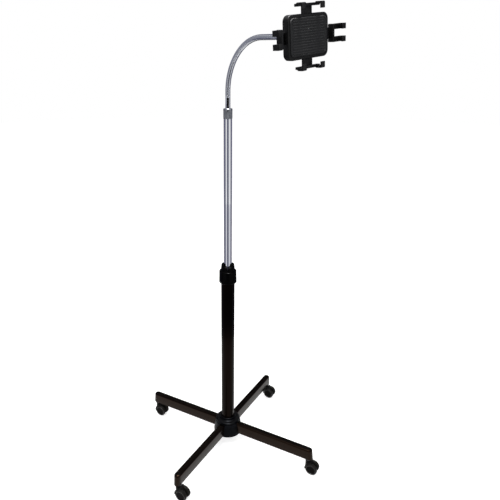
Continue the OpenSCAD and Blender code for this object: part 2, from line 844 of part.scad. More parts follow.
// Sliding arm: a tongue, a riser, and two fingers that end in hooks
// edge is the holder axis to the face that it grips, riser the same to its riser
module arm(turn, edge, root, riser, w, span, layer) {
    tongue_d = shell_back + lane_gap + layer * lane_h;
    finger_d = slot_d - lane_gap;
    mid = riser + riser_t / 2;
    color("#131415") place_holder() rotate([0, 0, turn]) {
        translate([root, -w / 2, tongue_d]) cube([mid - root, w, arm_t]);
        translate([mid, 0, tongue_d]) linear_extrude(finger_d - tongue_d)
            rounded_rect(riser_t, span + hook_w, hook_round);
        for (side = [-1, 1]) translate([0, side * span / 2, 0]) {
            translate([mid, -hook_w / 2, finger_d - finger_t])
                cube([edge + hook_t / 2 - mid, hook_w, finger_t]);
            translate([edge, 0, finger_d - finger_t])
                linear_extrude(face_d + hook_gap + lip_t - finger_d + finger_t)
                    translate([hook_t / 2, 0]) rounded_rect(hook_t, hook_w, hook_round);
            translate([edge + hook_t, 0, face_d + hook_gap]) linear_extrude(lip_t)
                translate([-(hook_t + lip_reach) / 2, 0]) rounded_rect(hook_t + lip_reach, hook_w, hook_round);
        }
    }
}

module side_arm(turn) {
    arm(turn, slot_w / 2, side_arm_root, side_riser, side_arm_w, side_hook_span, 0);
}

module tall_arm(turn) {
    arm(turn, slot_h / 2, tall_arm_root, tall_riser, tall_arm_w, tall_hook_span, 1);
}

base_hub();
hub_cap();
for (i = [1:4]) leg(i);
leg_bolts();
pole_bolt();
caster_sockets();
lower_tube();
pole_collet();
for (i = [1:4]) {
    caster_housing(i);
    caster_pins(i);
    caster_wheel(i, 1);
    caster_wheel(i, -1);
}
lock_nut();
guide_bush();
upper_tube();
coupling_ring();
lower_ferrule();
for (k = [1:neck_parts]) neck_hose(k);
for (k = [1:neck_parts]) neck_core(k);
end_ferrule();
ball_stud();
ball_liner();
ball_lock_ring();
back_shell();
front_plate();
front_pad();
shell_screws();
side_arm(0);  // arm_right
tall_arm(90);  // arm_top
side_arm(180);  // arm_left
tall_arm(270);  // arm_bottom
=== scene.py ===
import math
import bmesh
import bpy
from mathutils import Matrix, Vector


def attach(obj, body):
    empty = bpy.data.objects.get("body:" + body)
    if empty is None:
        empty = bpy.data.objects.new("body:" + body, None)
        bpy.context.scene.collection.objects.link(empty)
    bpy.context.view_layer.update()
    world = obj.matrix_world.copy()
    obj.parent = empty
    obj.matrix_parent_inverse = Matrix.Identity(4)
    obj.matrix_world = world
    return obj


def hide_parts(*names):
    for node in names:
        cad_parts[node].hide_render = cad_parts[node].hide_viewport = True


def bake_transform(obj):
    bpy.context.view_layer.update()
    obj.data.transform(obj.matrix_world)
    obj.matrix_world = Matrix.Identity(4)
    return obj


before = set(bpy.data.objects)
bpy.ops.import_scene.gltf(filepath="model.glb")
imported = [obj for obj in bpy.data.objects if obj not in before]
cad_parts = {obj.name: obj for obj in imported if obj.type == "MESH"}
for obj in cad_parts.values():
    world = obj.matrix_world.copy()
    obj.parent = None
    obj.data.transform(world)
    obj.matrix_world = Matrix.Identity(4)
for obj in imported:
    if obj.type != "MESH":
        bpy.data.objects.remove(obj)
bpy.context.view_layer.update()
mm = 0.001  # pieces are drawn in millimetres
print("frame loaded:", len(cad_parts), "nodes")

# camera at the photograph's viewing angle
shot = {"place": (-0.9542, -1.1169, 1.221), "turn": 40.51, "down": 20.46, "sensor": 36.0, "lens": 38.88,
        "shift": 0.0442}


def placeLooking(thing, place, look):
    thing.location = place
    thing.rotation_mode = "QUATERNION"
    thing.rotation_quaternion = look.to_track_quat("-Z", "Y")
    bpy.context.scene.collection.objects.link(thing)


def makeCamera():
    data = bpy.data.cameras.new("shotCamera")
    data.sensor_width = shot["sensor"]
    data.lens = shot["lens"]
    data.shift_x = shot["shift"]
    camera = bpy.data.objects.new("shotCamera", data)
    turn, down = math.radians(shot["turn"]), math.radians(shot["down"])
    look = Vector((math.sin(turn) * math.cos(down), math.cos(turn) * math.cos(down), -math.sin(down)))
    placeLooking(camera, shot["place"], look)
    bpy.context.scene.camera = camera


makeCamera()
print("camera set")


# mesh tools
flatCorner = math.pi - 0.02  # a corner opener than this stays as it is
arcShare = 0.49  # an arc takes up at most this share of a side
axisR = 1e-7  # a lathe's point nearer than this lies on the axis


def rounded(points, radii, steps=5, closed=True):
    # swaps each corner of a 2D outline for an arc
    made = []
    count = len(points)
    for i, p in enumerate(points):
        q = Vector(p)
        a = Vector(points[i - 1]) - q
        b = Vector(points[(i + 1) % count]) - q
        radius = radii[i] if isinstance(radii, (list, tuple)) else radii
        isEnd = not closed and i in (0, count - 1)
        if radius <= 0 or isEnd or a.angle(b) > flatCorner:
            made.append(q)
            continue
        half = a.angle(b) / 2
        back = min(radius / math.tan(half), arcShare * a.length, arcShare * b.length)
        radius = back * math.tan(half)
        a.normalize()
        b.normalize()
        centre = q + (a + b).normalized() * (radius / math.sin(half))
        first = q + a * back - centre
        last = q + b * back - centre
        sweep = math.atan2(first.x * last.y - first.y * last.x, first.dot(last))
        for k in range(steps + 1):
            cos, sin = math.cos(sweep * k / steps), math.sin(sweep * k / steps)
            made.append(centre + Vector((first.x * cos - first.y * sin, first.x * sin + first.y * cos)))
    return made


def circleRow(bm, radius, z, steps, centre=(0.0, 0.0)):
    turns = [math.tau * k / steps for k in range(steps)]
    x, y = centre
    return [bm.verts.new((x + radius * math.cos(a), y + radius * math.sin(a), z)) for a in turns]


def stitch(bm, rows):
    # faces between neighbouring rows, each of them closed round
    for a, b in zip(rows, rows[1:]):
        for k in range(len(a)):
            n = (k + 1) % len(a)
            bm.faces.new((a[k], a[n], b[n], b[k]))


def lathe(bm, profile, steps=96, closed=True):
    rings = []
    for r, z in profile:
        rings.append([bm.verts.new((0, 0, z))] if r < axisR else circleRow(bm, r, z, steps))
    pairs = list(zip(rings, rings[1:]))
    if closed:
        pairs.append((rings[-1], rings[0]))
    for a, b in pairs:
        if len(a) == 1 and len(b) == 1:
            continue
        for k in range(steps):
            n = (k + 1) % steps
            if len(a) == 1:
                bm.faces.new((a[0], b[k], b[n]))
            elif len(b) == 1:
                bm.faces.new((a[k], b[0], a[n]))
            else:
                bm.faces.new((a[k], b[k], b[n], a[n]))


def prism(bm, outline, low, high):
    foot, head = [[bm.verts.new((p[0], p[1], z)) for p in outline] for z in (low, high)]
    stitch(bm, [foot, head])
    bm.faces.new(list(reversed(foot)))
    bm.faces.new(head)


def sharpEdges(bm, limit=50):
    return [e for e in bm.edges if len(e.link_faces) == 2 and e.calc_face_angle(0) > math.radians(limit)]


def bevelEdges(bm, edges, width, segments):
    bmesh.ops.bevel(bm, geom=edges, offset=width, segments=segments, profile=0.5, affect="EDGES",
                    clamp_overlap=True)


def softEdges(bm, width, segments=3):
    bmesh.ops.recalc_face_normals(bm, faces=bm.faces[:])
    bevelEdges(bm, sharpEdges(bm), width, segments)


def roundRect(w, h, r, steps=8):
    return rounded([(-w / 2, -h / 2), (w / 2, -h / 2), (w / 2, h / 2), (-w / 2, h / 2)], r, steps)


def insetRows(bm, w, h, r, low, levels, ease=1.0):
    # a rounded rectangle at each height, drawn in by its inset
    rows = []
    for z, inset in levels:
        outline = roundRect(w - 2 * inset, h - 2 * inset, r - inset * ease)
        rows.append([bm.verts.new((p.x, p.y, low + z)) for p in outline])
    stitch(bm, rows)
    return rows


def addInto(bm, part, matrix=None):
    # joins one bmesh into another
    if matrix is not None:
        part.transform(matrix)
    mesh = bpy.data.meshes.new("join")
    part.to_mesh(mesh)
    part.free()
    bm.from_mesh(mesh)
    bpy.data.meshes.remove(mesh)


def makePiece(name, bm, material, body, nodes=(), matrix=None, sharp=40):
    bmesh.ops.recalc_face_normals(bm, faces=bm.faces[:])
    if matrix is not None:
        bm.transform(matrix)
        if matrix.determinant() < 0:
            bmesh.ops.reverse_faces(bm, faces=bm.faces[:])
    bm.transform(Matrix.Scale(mm, 4))
    mesh = bpy.data.meshes.new(name)
    bm.to_mesh(mesh)
    bm.free()
    mesh.shade_smooth()
    mesh.set_sharp_from_angle(angle=math.radians(sharp))
    piece = bpy.data.objects.new(name, mesh)
    bpy.context.scene.collection.objects.link(piece)
    mesh.materials.append(material)
    if body is not None:
        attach(piece, body)
    if nodes:
        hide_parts(*nodes)
    return piece


# shared surface effects, as node groups


def newGroup(name, inputs, outputs):
    # all sockets are plain values, and the inputs come with their usual ones
    tree = bpy.data.node_groups.new(name, "ShaderNodeTree")
    for label, value in inputs.items():
        tree.interface.new_socket(label, in_out="INPUT", socket_type="NodeSocketFloat").default_value = value
    for label in outputs:
        tree.interface.new_socket(label, in_out="OUTPUT", socket_type="NodeSocketFloat")
    return tree, tree.nodes.new("NodeGroupInput"), tree.nodes.new("NodeGroupOutput")


def setInputs(node, values):
    for socket, value in values.items():
        node.inputs[socket].default_value = value


def addNode(tree, kind, values=None, **settings):
    node = tree.nodes.new(kind)
    for key, value in settings.items():
        setattr(node, key, value)
    setInputs(node, values or {})
    return node


def spreadGloss(tree, given, out, value, low, high):
    # turns a texture's value into a roughness between the group's two limits
    spread = addNode(tree, "ShaderNodeMapRange", {"From Min": low, "From Max": high})
    tree.links.new(value, spread.inputs["Value"])
    tree.links.new(given.outputs["Low Roughness"], spread.inputs["To Min"])
    tree.links.new(given.outputs["High Roughness"], spread.inputs["To Max"])
    tree.links.new(spread.outputs["Result"], out.inputs["Roughness"])


def mouldGrainGroup():
    # fine moulded grain for bump, and slow drift of gloss
    tree, given, out = newGroup("mouldGrain", {
        "Grain Scale": 2500.0, "Drift Scale": 40.0, "Low Roughness": 0.3, "High Roughness": 0.45,
    }, ["Roughness", "Height", "Drift"])
    place = addNode(tree, "ShaderNodeTexCoord")
    grain = addNode(tree, "ShaderNodeTexNoise", {"Detail": 3.0})
    drift = addNode(tree, "ShaderNodeTexNoise", {"Detail": 4.0})
    link = tree.links.new
    for texture, scale in ((grain, "Grain Scale"), (drift, "Drift Scale")):
        link(place.outputs["Object"], texture.inputs["Vector"])
        link(given.outputs[scale], texture.inputs["Scale"])
    spreadGloss(tree, given, out, drift.outputs["Fac"], 0.3, 0.7)
    link(grain.outputs["Fac"], out.inputs["Height"])
    link(drift.outputs["Fac"], out.inputs["Drift"])
    return tree


def edgeRubAndSheenGroup():
    # bright or pale rub on edges that stand out: partly wear, partly painted highlight on the edges
    tree, given, out = newGroup("edgeRubAndSheen", {"Start": 0.53, "Full": 0.6, "Breakup Scale": 300.0}, ["Mask"])
    shape = addNode(tree, "ShaderNodeNewGeometry")
    place = addNode(tree, "ShaderNodeTexCoord")
    breakup = addNode(tree, "ShaderNodeTexNoise", {"Detail": 4.0})
    edge = addNode(tree, "ShaderNodeMapRange")
    product = addNode(tree, "ShaderNodeMath", operation="MULTIPLY")
    link = tree.links.new
    link(shape.outputs["Pointiness"], edge.inputs["Value"])
    link(given.outputs["Start"], edge.inputs["From Min"])
    link(given.outputs["Full"], edge.inputs["From Max"])
    link(place.outputs["Object"], breakup.inputs["Vector"])
    link(given.outputs["Breakup Scale"], breakup.inputs["Scale"])
    link(edge.outputs["Result"], product.inputs[0])
    link(breakup.outputs["Fac"], product.inputs[1])
    link(product.outputs["Value"], out.inputs["Mask"])
    return tree


def settledDustGroup():
    # thin dust on what faces up
    tree, given, out = newGroup("settledDust", {"Amount": 0.2, "Patch Scale": 60.0}, ["Mask"])
    shape = addNode(tree, "ShaderNodeNewGeometry")
    split = addNode(tree, "ShaderNodeSeparateXYZ")
    facing = addNode(tree, "ShaderNodeMapRange", {"From Min": 0.55, "From Max": 1.0})
    place = addNode(tree, "ShaderNodeTexCoord")
    patch = addNode(tree, "ShaderNodeTexNoise", {"Detail": 6.0})
    first = addNode(tree, "ShaderNodeMath", operation="MULTIPLY")
    second = addNode(tree, "ShaderNodeMath", operation="MULTIPLY")
    link = tree.links.new
    link(shape.outputs["Normal"], split.inputs["Vector"])
    link(split.outputs["Z"], facing.inputs["Value"])
    link(place.outputs["Object"], patch.inputs["Vector"])
    link(given.outputs["Patch Scale"], patch.inputs["Scale"])
    link(facing.outputs["Result"], first.inputs[0])
    link(patch.outputs["Fac"], first.inputs[1])
    link(first.outputs["Value"], second.inputs[0])
    link(given.outputs["Amount"], second.inputs[1])
    link(second.outputs["Value"], out.inputs["Mask"])
    return tree


def drawnLinesGroup():
    # fine lines along Z from drawing or brushing
    tree, given, out = newGroup("drawnLines", {
        "Across Scale": 2600.0, "Along Scale": 12.0, "Low Roughness": 0.05, "High Roughness": 0.12,
    }, ["Roughness", "Height", "Tone"])
    place = addNode(tree, "ShaderNodeTexCoord")
    scales = addNode(tree, "ShaderNodeCombineXYZ")
    scaled = addNode(tree, "ShaderNodeVectorMath", operation="MULTIPLY")
    lines = addNode(tree, "ShaderNodeTexNoise", {"Scale": 1.0, "Detail": 2.0})
    smear = addNode(tree, "ShaderNodeTexNoise", {"Scale": 22.0, "Detail": 5.0})
    link = tree.links.new
    for axis, scale in (("X", "Across Scale"), ("Y", "Across Scale"), ("Z", "Along Scale")):
        link(given.outputs[scale], scales.inputs[axis])
    link(place.outputs["Object"], scaled.inputs[0])
    link(scales.outputs["Vector"], scaled.inputs[1])
    link(scaled.outputs["Vector"], lines.inputs["Vector"])
    link(place.outputs["Object"], smear.inputs["Vector"])
    spreadGloss(tree, given, out, smear.outputs["Fac"], 0.35, 0.7)
    link(lines.outputs["Fac"], out.inputs["Height"])
    link(smear.outputs["Fac"], out.inputs["Tone"])
    return tree


effects = {
    "mouldGrain": mouldGrainGroup(),
    "edgeRubAndSheen": edgeRubAndSheenGroup(),
    "settledDust": settledDustGroup(),
    "drawnLines": drawnLinesGroup(),
}
print("effects made:", ", ".join(effects))


# finishes: what a finish doesn't set comes from these two
mouldedUsual = {"metal": 0.0, "ior": 1.48, "spec": 0.5, "tint": (1.0, 1.0, 1.0), "coatRough": 0.12,
                "dustTone": (0.36, 0.34, 0.32), "rubAndSheen": (0.53, 0.66), "depth": 0.0002}
metalUsual = {"rubAndSheen": (0.52, 0.62), "depth": 0.0002}


def startFinish(name):
    material = bpy.data.materials.new(name)
    material.use_nodes = True
    tree = material.node_tree
    tree.nodes.clear()
    out = tree.nodes.new("ShaderNodeOutputMaterial")
    shader = tree.nodes.new("ShaderNodeBsdfPrincipled")
    tree.links.new(shader.outputs["BSDF"], out.inputs["Surface"])
    return material, tree, shader


def placeEffect(tree, name, values):
    return addNode(tree, "ShaderNodeGroup", values, node_tree=effects[name])


def mixColours(tree, mask, first, second):
    # first and second are colours or sockets
    mix = addNode(tree, "ShaderNodeMix", data_type="RGBA")
    tree.links.new(mask, mix.inputs["Factor"])
    for socket, value in ((mix.inputs[6], first), (mix.inputs[7], second)):
        if isinstance(value, (tuple, list)):
            socket.default_value = (*value, 1.0)
        else:
            tree.links.new(value, socket)
    return mix.outputs[2]


def paintedMask(tree, name):
    # a mask that the mesh carries
    return addNode(tree, "ShaderNodeAttribute", attribute_name=name).outputs["Fac"]


def rubbedAndSheenColour(tree, look, colour):
    # the edge colour on sharp edges: partly wear, partly painted highlight
    rubAndSheen = placeEffect(tree, "edgeRubAndSheen", {"Start": look["rubAndSheen"][0], "Full": look["rubAndSheen"][1]})
    return mixColours(tree, rubAndSheen.outputs["Mask"], colour, look["edge"])


def addSurface(tree, shader, look, colour, roughness, height):
    bump = addNode(tree, "ShaderNodeBump", {"Strength": look["bump"], "Distance": look["depth"]})
    tree.links.new(height, bump.inputs["Height"])
    tree.links.new(bump.outputs["Normal"], shader.inputs["Normal"])
    tree.links.new(colour, shader.inputs["Base Color"])
    tree.links.new(roughness, shader.inputs["Roughness"])


def mouldedFinish(name, given):
    # painted or moulded surface with grain, dust, and rubbed edges that are partly wear and partly painted
    # highlight
    look = {**mouldedUsual, **given}
    material, tree, shader = startFinish(name)
    grain = placeEffect(tree, "mouldGrain", {
        "Grain Scale": look["grain"], "Drift Scale": look["drift"],
        "Low Roughness": look["rough"][0], "High Roughness": look["rough"][1],
    })
    dust = placeEffect(tree, "settledDust", {"Amount": look["dust"]})
    colour = mixColours(tree, grain.outputs["Drift"], look["dark"], look["light"])
    colour = rubbedAndSheenColour(tree, look, colour)
    colour = mixColours(tree, dust.outputs["Mask"], colour, look["dustTone"])
    if "disc" in look:
        colour = mixColours(tree, paintedMask(tree, "disc"), colour, look["disc"])
        tree.links.new(paintedMask(tree, "rim"), shader.inputs["Coat Weight"])
    addSurface(tree, shader, look, colour, grain.outputs["Roughness"], grain.outputs["Height"])
    setInputs(shader, {
        "Metallic": look["metal"], "IOR": look["ior"], "Specular IOR Level": look["spec"],
        "Specular Tint": (*look["tint"], 1.0), "Coat Roughness": look["coatRough"],
    })
    return material


def metalFinish(name, given):
    # bare or plated metal with drawn lines, and rubbed edges that are partly wear and partly painted
    # highlight
    look = {**metalUsual, **given}
    material, tree, shader = startFinish(name)
    lines = placeEffect(tree, "drawnLines", {
        "Across Scale": look["across"], "Along Scale": look["along"],
        "Low Roughness": look["rough"][0], "High Roughness": look["rough"][1],
    })
    colour = mixColours(tree, lines.outputs["Tone"], look["dark"], look["light"])
    colour = rubbedAndSheenColour(tree, look, colour)
    # painted shade in the grooves, from the mesh's groove mask
    if "groove" in look:
        colour = mixColours(tree, paintedMask(tree, "groove"), colour, look["groove"])
    addSurface(tree, shader, look, colour, lines.outputs["Roughness"], lines.outputs["Height"])
    setInputs(shader, {"Metallic": 1.0})
    return material


# each finish's edge colour goes on sharp edges: partly wear, partly painted highlight
legEnamel = mouldedFinish("legEnamel", {
    "dark": (0.0008, 0.0005, 0.00035), "light": (0.002, 0.0012, 0.0008), "edge": (0.016, 0.01, 0.0075),
    "grain": 420.0, "drift": 14.0, "rough": (0.13, 0.22), "rubAndSheen": (0.55, 0.7), "dust": 0.006,
    "bump": 0.05, "depth": 0.0004, "ior": 1.5, "spec": 0.14, "tint": (1.0, 0.62, 0.42),
})
poleEnamel = mouldedFinish("poleEnamel", {
    "dark": (0.0006, 0.0005, 0.0005), "light": (0.0014, 0.001, 0.0009), "edge": (0.012, 0.009, 0.008),
    "grain": 420.0, "drift": 14.0, "rough": (0.12, 0.2), "rubAndSheen": (0.55, 0.7), "dust": 0.004,
    "bump": 0.04, "depth": 0.0004, "ior": 1.5, "spec": 0.048, "tint": (1.0, 0.6, 0.42),
})
hubPlastic = mouldedFinish("hubPlastic", {
    "dark": (0.0008, 0.0009, 0.0013), "light": (0.0018, 0.002, 0.0028), "edge": (0.016, 0.018, 0.026),
    "grain": 1900.0, "drift": 45.0, "rough": (0.26, 0.36), "dust": 0.02,
    "bump": 0.12, "spec": 0.045, "tint": (0.85, 0.9, 1.0),
})
lockPlastic = mouldedFinish("lockPlastic", {
    "dark": (0.0006, 0.0006, 0.0007), "light": (0.0013, 0.0013, 0.0014), "edge": (0.012, 0.012, 0.0125),
    "grain": 900.0, "drift": 35.0, "rough": (0.16, 0.27), "rubAndSheen": (0.54, 0.68), "dust": 0.015,
    "bump": 0.04, "spec": 0.03,
})
casterPlastic = mouldedFinish("casterPlastic", {
    "dark": (0.003, 0.0029, 0.0027), "light": (0.0055, 0.0053, 0.005), "edge": (0.03, 0.029, 0.027),
    "grain": 1700.0, "drift": 60.0, "rough": (0.3, 0.42), "rubAndSheen": (0.53, 0.64), "dust": 0.025,
    "bump": 0.15, "spec": 0.1,
})
wheelPlastic = mouldedFinish("wheelPlastic", {
    "dark": (0.011, 0.0105, 0.0095), "light": (0.017, 0.0162, 0.0147), "edge": (0.05, 0.048, 0.044),
    "disc": (0.0022, 0.0015, 0.0012),
    "grain": 1300.0, "drift": 80.0, "rough": (0.32, 0.46), "rubAndSheen": (0.53, 0.63), "dust": 0.03,
    "bump": 0.18, "spec": 0.028,
})
holderPlastic = mouldedFinish("holderPlastic", {
    "dark": (0.0018, 0.0018, 0.0019), "light": (0.0034, 0.0034, 0.0036), "edge": (0.024, 0.024, 0.025),
    "grain": 2100.0, "drift": 38.0, "rough": (0.3, 0.44), "rubAndSheen": (0.53, 0.65), "dust": 0.02,
    "bump": 0.2, "spec": 0.11,
})
padRubber = mouldedFinish("padRubber", {
    "dark": (0.0045, 0.0046, 0.005), "light": (0.008, 0.0082, 0.0088), "edge": (0.022, 0.0225, 0.024),
    "grain": 1100.0, "drift": 30.0, "rough": (0.62, 0.8), "dust": 0.04,
    "bump": 0.4, "depth": 0.0003, "spec": 0.2,
})
socketPlastic = mouldedFinish("socketPlastic", {
    "dark": (0.02, 0.02, 0.022), "light": (0.034, 0.034, 0.037), "edge": (0.08, 0.08, 0.085),
    "grain": 1500.0, "drift": 60.0, "rough": (0.4, 0.55), "dust": 0.03,
    "bump": 0.15,
})
naturalNylon = mouldedFinish("naturalNylon", {
    "dark": (0.62, 0.6, 0.55), "light": (0.76, 0.745, 0.7), "edge": (0.85, 0.84, 0.8),
    "grain": 1200.0, "drift": 40.0, "rough": (0.35, 0.5), "dust": 0.05,
    "bump": 0.1,
})
ringMetal = mouldedFinish("ringMetal", {
    "dark": (0.135, 0.143, 0.158), "light": (0.2, 0.211, 0.23), "edge": (0.42, 0.43, 0.45),
    "grain": 1500.0, "drift": 90.0, "rough": (0.22, 0.3), "rubAndSheen": (0.51, 0.58), "dust": 0.02,
    "bump": 0.15, "metal": 0.75,
})
chromePlate = metalFinish("chromePlate", {
    "dark": (0.6, 0.615, 0.65), "light": (0.67, 0.68, 0.7), "edge": (0.72, 0.725, 0.74),
    "across": 2600.0, "along": 10.0, "rough": (0.035, 0.08), "bump": 0.012,
})
# the groove colour is painted shade down in the sheath's grooves
neckSteel = metalFinish("neckSteel", {
    "dark": (0.4, 0.415, 0.45), "light": (0.5, 0.515, 0.545), "edge": (0.58, 0.59, 0.61),
    "groove": (0.16, 0.165, 0.18), "across": 1800.0, "along": 300.0, "rough": (0.1, 0.18), "bump": 0.015,
})
zincSteel = metalFinish("zincSteel", {
    "dark": (0.46, 0.465, 0.475), "light": (0.62, 0.62, 0.625), "edge": (0.74, 0.74, 0.75),
    "across": 1500.0, "along": 200.0, "rough": (0.24, 0.4), "bump": 0.06,
})
print("finishes made")


# legs: pressed channel with a round nose, swept out along one side and back along the other
leg = {"count": 4, "reach": 295.0, "w": 21.0, "h": 34.0, "wall": 2.0, "edge": 5.0, "lip": (0.5, 0.7),
       "top": 82.0, "turn": 19.3, "root": 23.0, "draft": 4.0, "sideSteps": 24, "noseSteps": 36, "weld": 0.004}
noseX = leg["reach"] - leg["w"] / 2
legFloor = leg["top"] - leg["h"]
legNumbers = range(1, leg["count"] + 1)


def legTurn(i):
    return math.radians(-90 + leg["turn"] + 90 * (i - 1))


def makeLeg(i):
    half, h, wall, r = leg["w"] / 2, leg["h"], leg["wall"], leg["edge"]
    bore = half - wall
    section = rounded([(0, h - wall), (bore, h - wall), (bore, 0), (half, 0), (half, h), (0, h)],
                      [0, r - wall, *leg["lip"], r, 0], 7, closed=False)
    # each stop has its place along the leg and how far the wall faces sideways and ahead
    sides, nose = leg["sideSteps"], leg["noseSteps"]
    path = [(leg["root"] + (noseX - leg["root"]) * k / sides, 1.0, 0.0) for k in range(sides + 1)]
    path += [(noseX, math.cos(math.pi * k / nose), math.sin(math.pi * k / nose)) for k in range(1, nose)]
    path += [(x, -1.0, 0.0) for x, side, ahead in reversed(path[:sides + 1])]
    bm = bmesh.new()
    rows = []
    for x, side, ahead in path:
        row = []
        for out, z in section:
            lean = leg["draft"] * (1 - z / h)
            row.append(bm.verts.new((x + (out + lean) * ahead, out * side, z)))
        rows.append(row)
    for a, b in zip(rows, rows[1:]):
        for k in range(len(section) - 1):
            bm.faces.new((a[k], b[k], b[k + 1], a[k + 1]))
    bmesh.ops.remove_doubles(bm, verts=bm.verts[:], dist=leg["weld"])
    place = Matrix.Rotation(legTurn(i), 4, "Z") @ Matrix.Translation((0, 0, legFloor))
    makePiece(f"legShell_{i}", bm, legEnamel, "base", [f"leg_{i}"], place, sharp=50)


for i in legNumbers:
    makeLeg(i)
print("legs made")


# pole: both tubes and the hub's cap
lowerTube = {"r": 20.0, "wall": 1.5, "low": 48.0, "high": 598.0}
upperTube = {"r": 11.5, "wall": 1.2, "low": 478.1, "high": 1060.0}
tubeEnd = {"lip": 0.4, "near": 2.0}
cap = {"r": 38.0, "h": 9.0, "bore": 20.1, "collarR": 24.0, "collarH": 8.0, "lean": 0.6, "root": 3.0,
       "fall": 0.6, "rise": 1.5, "edges": (0.3, 0.6, 2.5, 1.5, 1.5, 2.2, 1.0)}


def makeTube(name, tube, finish, body, node):
    r, bore, low, high = tube["r"], tube["r"] - tube["wall"], tube["low"], tube["high"]
    lip, near = tubeEnd["lip"], tubeEnd["near"]
    bm = bmesh.new()
    # the extra points near the ends keep the long wall's shading straight
    outline = rounded([(bore, low), (r, low), (r, low + near), (r, high - near), (r, high), (bore, high)],
                      [lip, lip, 0, 0, lip, lip], 3)
    lathe(bm, outline, steps=128)
    makePiece(name, bm, finish, body, [node])


def makeCap():
    low, mid = leg["top"], leg["top"] + cap["h"]
    top = mid + cap["collarH"]
    bore, r, collar = cap["bore"], cap["r"], cap["collarR"]
    bm = bmesh.new()
    outline = rounded([
        (bore, low), (r, low), (r, mid), (collar + cap["root"], mid - cap["fall"]),
        (collar, mid + cap["rise"]), (collar - cap["lean"], top), (bore, top),
    ], cap["edges"], 6)
    lathe(bm, outline, steps=128)
    makePiece("hubCap", bm, hubPlastic, "base", ["hub_cap"])


makeTube("lowerPole", lowerTube, poleEnamel, "base", "lower_tube")
makeTube("upperPole", upperTube, chromePlate, "upper_pole", "upper_tube")
makeCap()


# twist lock: a knob round a collet of two jaws
lock = {"r": 25.8, "low": 571.0, "high": 610.0, "chamfer": (3.75, 2.5), "draft": 0.8, "bore": 20.4,
        "floor": 6.6, "lip": 21.2, "lipH": 5.6, "cavity": 23.5,
        "edges": (0.4, 0.8, 1.6, 4.5, 0.4, 0.3, 0.3, 0.3, 0.3)}
collet = {"low": 598.0, "high": 631.0, "lowR": 20.8, "topR": 18.6, "tip": 2.6, "bore": 11.55, "jaws": 2,
          "turn": 228.0, "slit": 1.0, "slitUnder": 1.0, "notchW": 12.3, "notchH": 9.0, "notchRise": 2.0,
          "notchMost": 0.95, "edge": 0.35, "rows": 30, "across": 44}


def makeLockNut():
    r, bore, low, high = lock["r"], lock["bore"], lock["low"], lock["high"]
    lip, cavity, floor, roof = lock["lip"], lock["cavity"], low + lock["floor"], high - lock["lipH"]
    bm = bmesh.new()
    outline = rounded([
        (bore, low), (r - lock["chamfer"][0], low), (r, low + lock["chamfer"][1]), (r - lock["draft"], high),
        (lip, high), (lip, roof), (cavity, roof), (cavity, floor), (bore, floor),
    ], lock["edges"], 8)
    lathe(bm, outline, steps=128)
    makePiece("lockKnob", bm, lockPlastic, "lock_nut", ["lock_nut"])


def colletRadius(z):
    # narrows above the knob and rounds over at the tip
    rise = max(0.0, z - lock["high"]) / (collet["high"] - lock["high"])
    tip = max(0.0, z - (collet["high"] - collet["tip"]))
    drop = collet["tip"] - math.sqrt(max(0.0, collet["tip"] ** 2 - tip ** 2))
    return collet["lowR"] + (collet["topR"] - collet["lowR"]) * rise - drop


def colletGap(z):
    # half the gap between the jaws: a slit that opens into a notch
    if z <= lock["high"] - collet["slitUnder"]:
        return 0.0
    notch = max(0.0, z - (collet["high"] - collet["notchH"]))
    gap = collet["notchW"] * min(1.0, notch / collet["notchRise"]) + notch / collet["notchH"]
    return max(collet["slit"] / 2, gap)


def makeCollet():
    rows, across, low, high = collet["rows"], collet["across"], collet["low"], collet["high"]
    share = math.tau / collet["jaws"]
    bm = bmesh.new()
    for jaw in range(collet["jaws"]):
        outer, inner = [], []
        for j in range(rows + 1):
            z = low + (high - low) * j / rows
            for grid, r in ((outer, colletRadius(z)), (inner, collet["bore"])):
                edge = math.asin(min(collet["notchMost"], colletGap(z) / r))
                start = math.radians(collet["turn"]) + share * jaw + edge
                turns = [start + (share - 2 * edge) * k / across for k in range(across + 1)]
                grid.append([bm.verts.new((r * math.cos(a), r * math.sin(a), z)) for a in turns])
        for j in range(rows):
            for k in range(across):
                for grid in (outer, inner):
                    bm.faces.new((grid[j][k], grid[j][k + 1], grid[j + 1][k + 1], grid[j + 1][k]))
            for k in (0, across):
                bm.faces.new((outer[j][k], outer[j + 1][k], inner[j + 1][k], inner[j][k]))
        for j in (0, rows):
            for k in range(across):
                bm.faces.new((outer[j][k], outer[j][k + 1], inner[j][k + 1], inner[j][k]))
    bevelEdges(bm, sharpEdges(bm), collet["edge"], 2)
    makePiece("splitCollet", bm, lockPlastic, "base", ["pole_collet"])


makeLockNut()
makeCollet()
print("pole and twist lock made")


# coupling ring and ferrule
ring = {"r": 12.3, "foot": 1046.0, "h": 27.0, "shoulder": 5.0, "bore": 11.6, "boreH": 17.0, "neckR": 6.8,
        "footIn": 0.4, "footH": 0.2, "under": 0.45, "step": 0.8,
        "edges": (0.1, 0.1, 0, 0, 0.5, 4.6, 0.5, 0, 0)}
knurl = {"teeth": 52, "perTooth": 6, "depth": 0.25, "inset": 0.15, "fade": 1.0, "endInset": 0.25,
         "margin": 1.2, "levels": 10, "firstLevels": [0.0, 0.25, 0.8], "lastLevel": 0.5}
ferrule = {"r": 6.7, "low": 1060.0, "high": 1105.0, "flangeR": 11.3, "flangeH": 3.0, "near": 2.0,
           "grooveAt": 3.0, "grooveHalf": 0.4, "grooveD": 0.35,
           "edges": (0, 0.3, 0.3, 0.4, 0, 0, 0.3, 0.2, 0.3, 0.8, 0)}


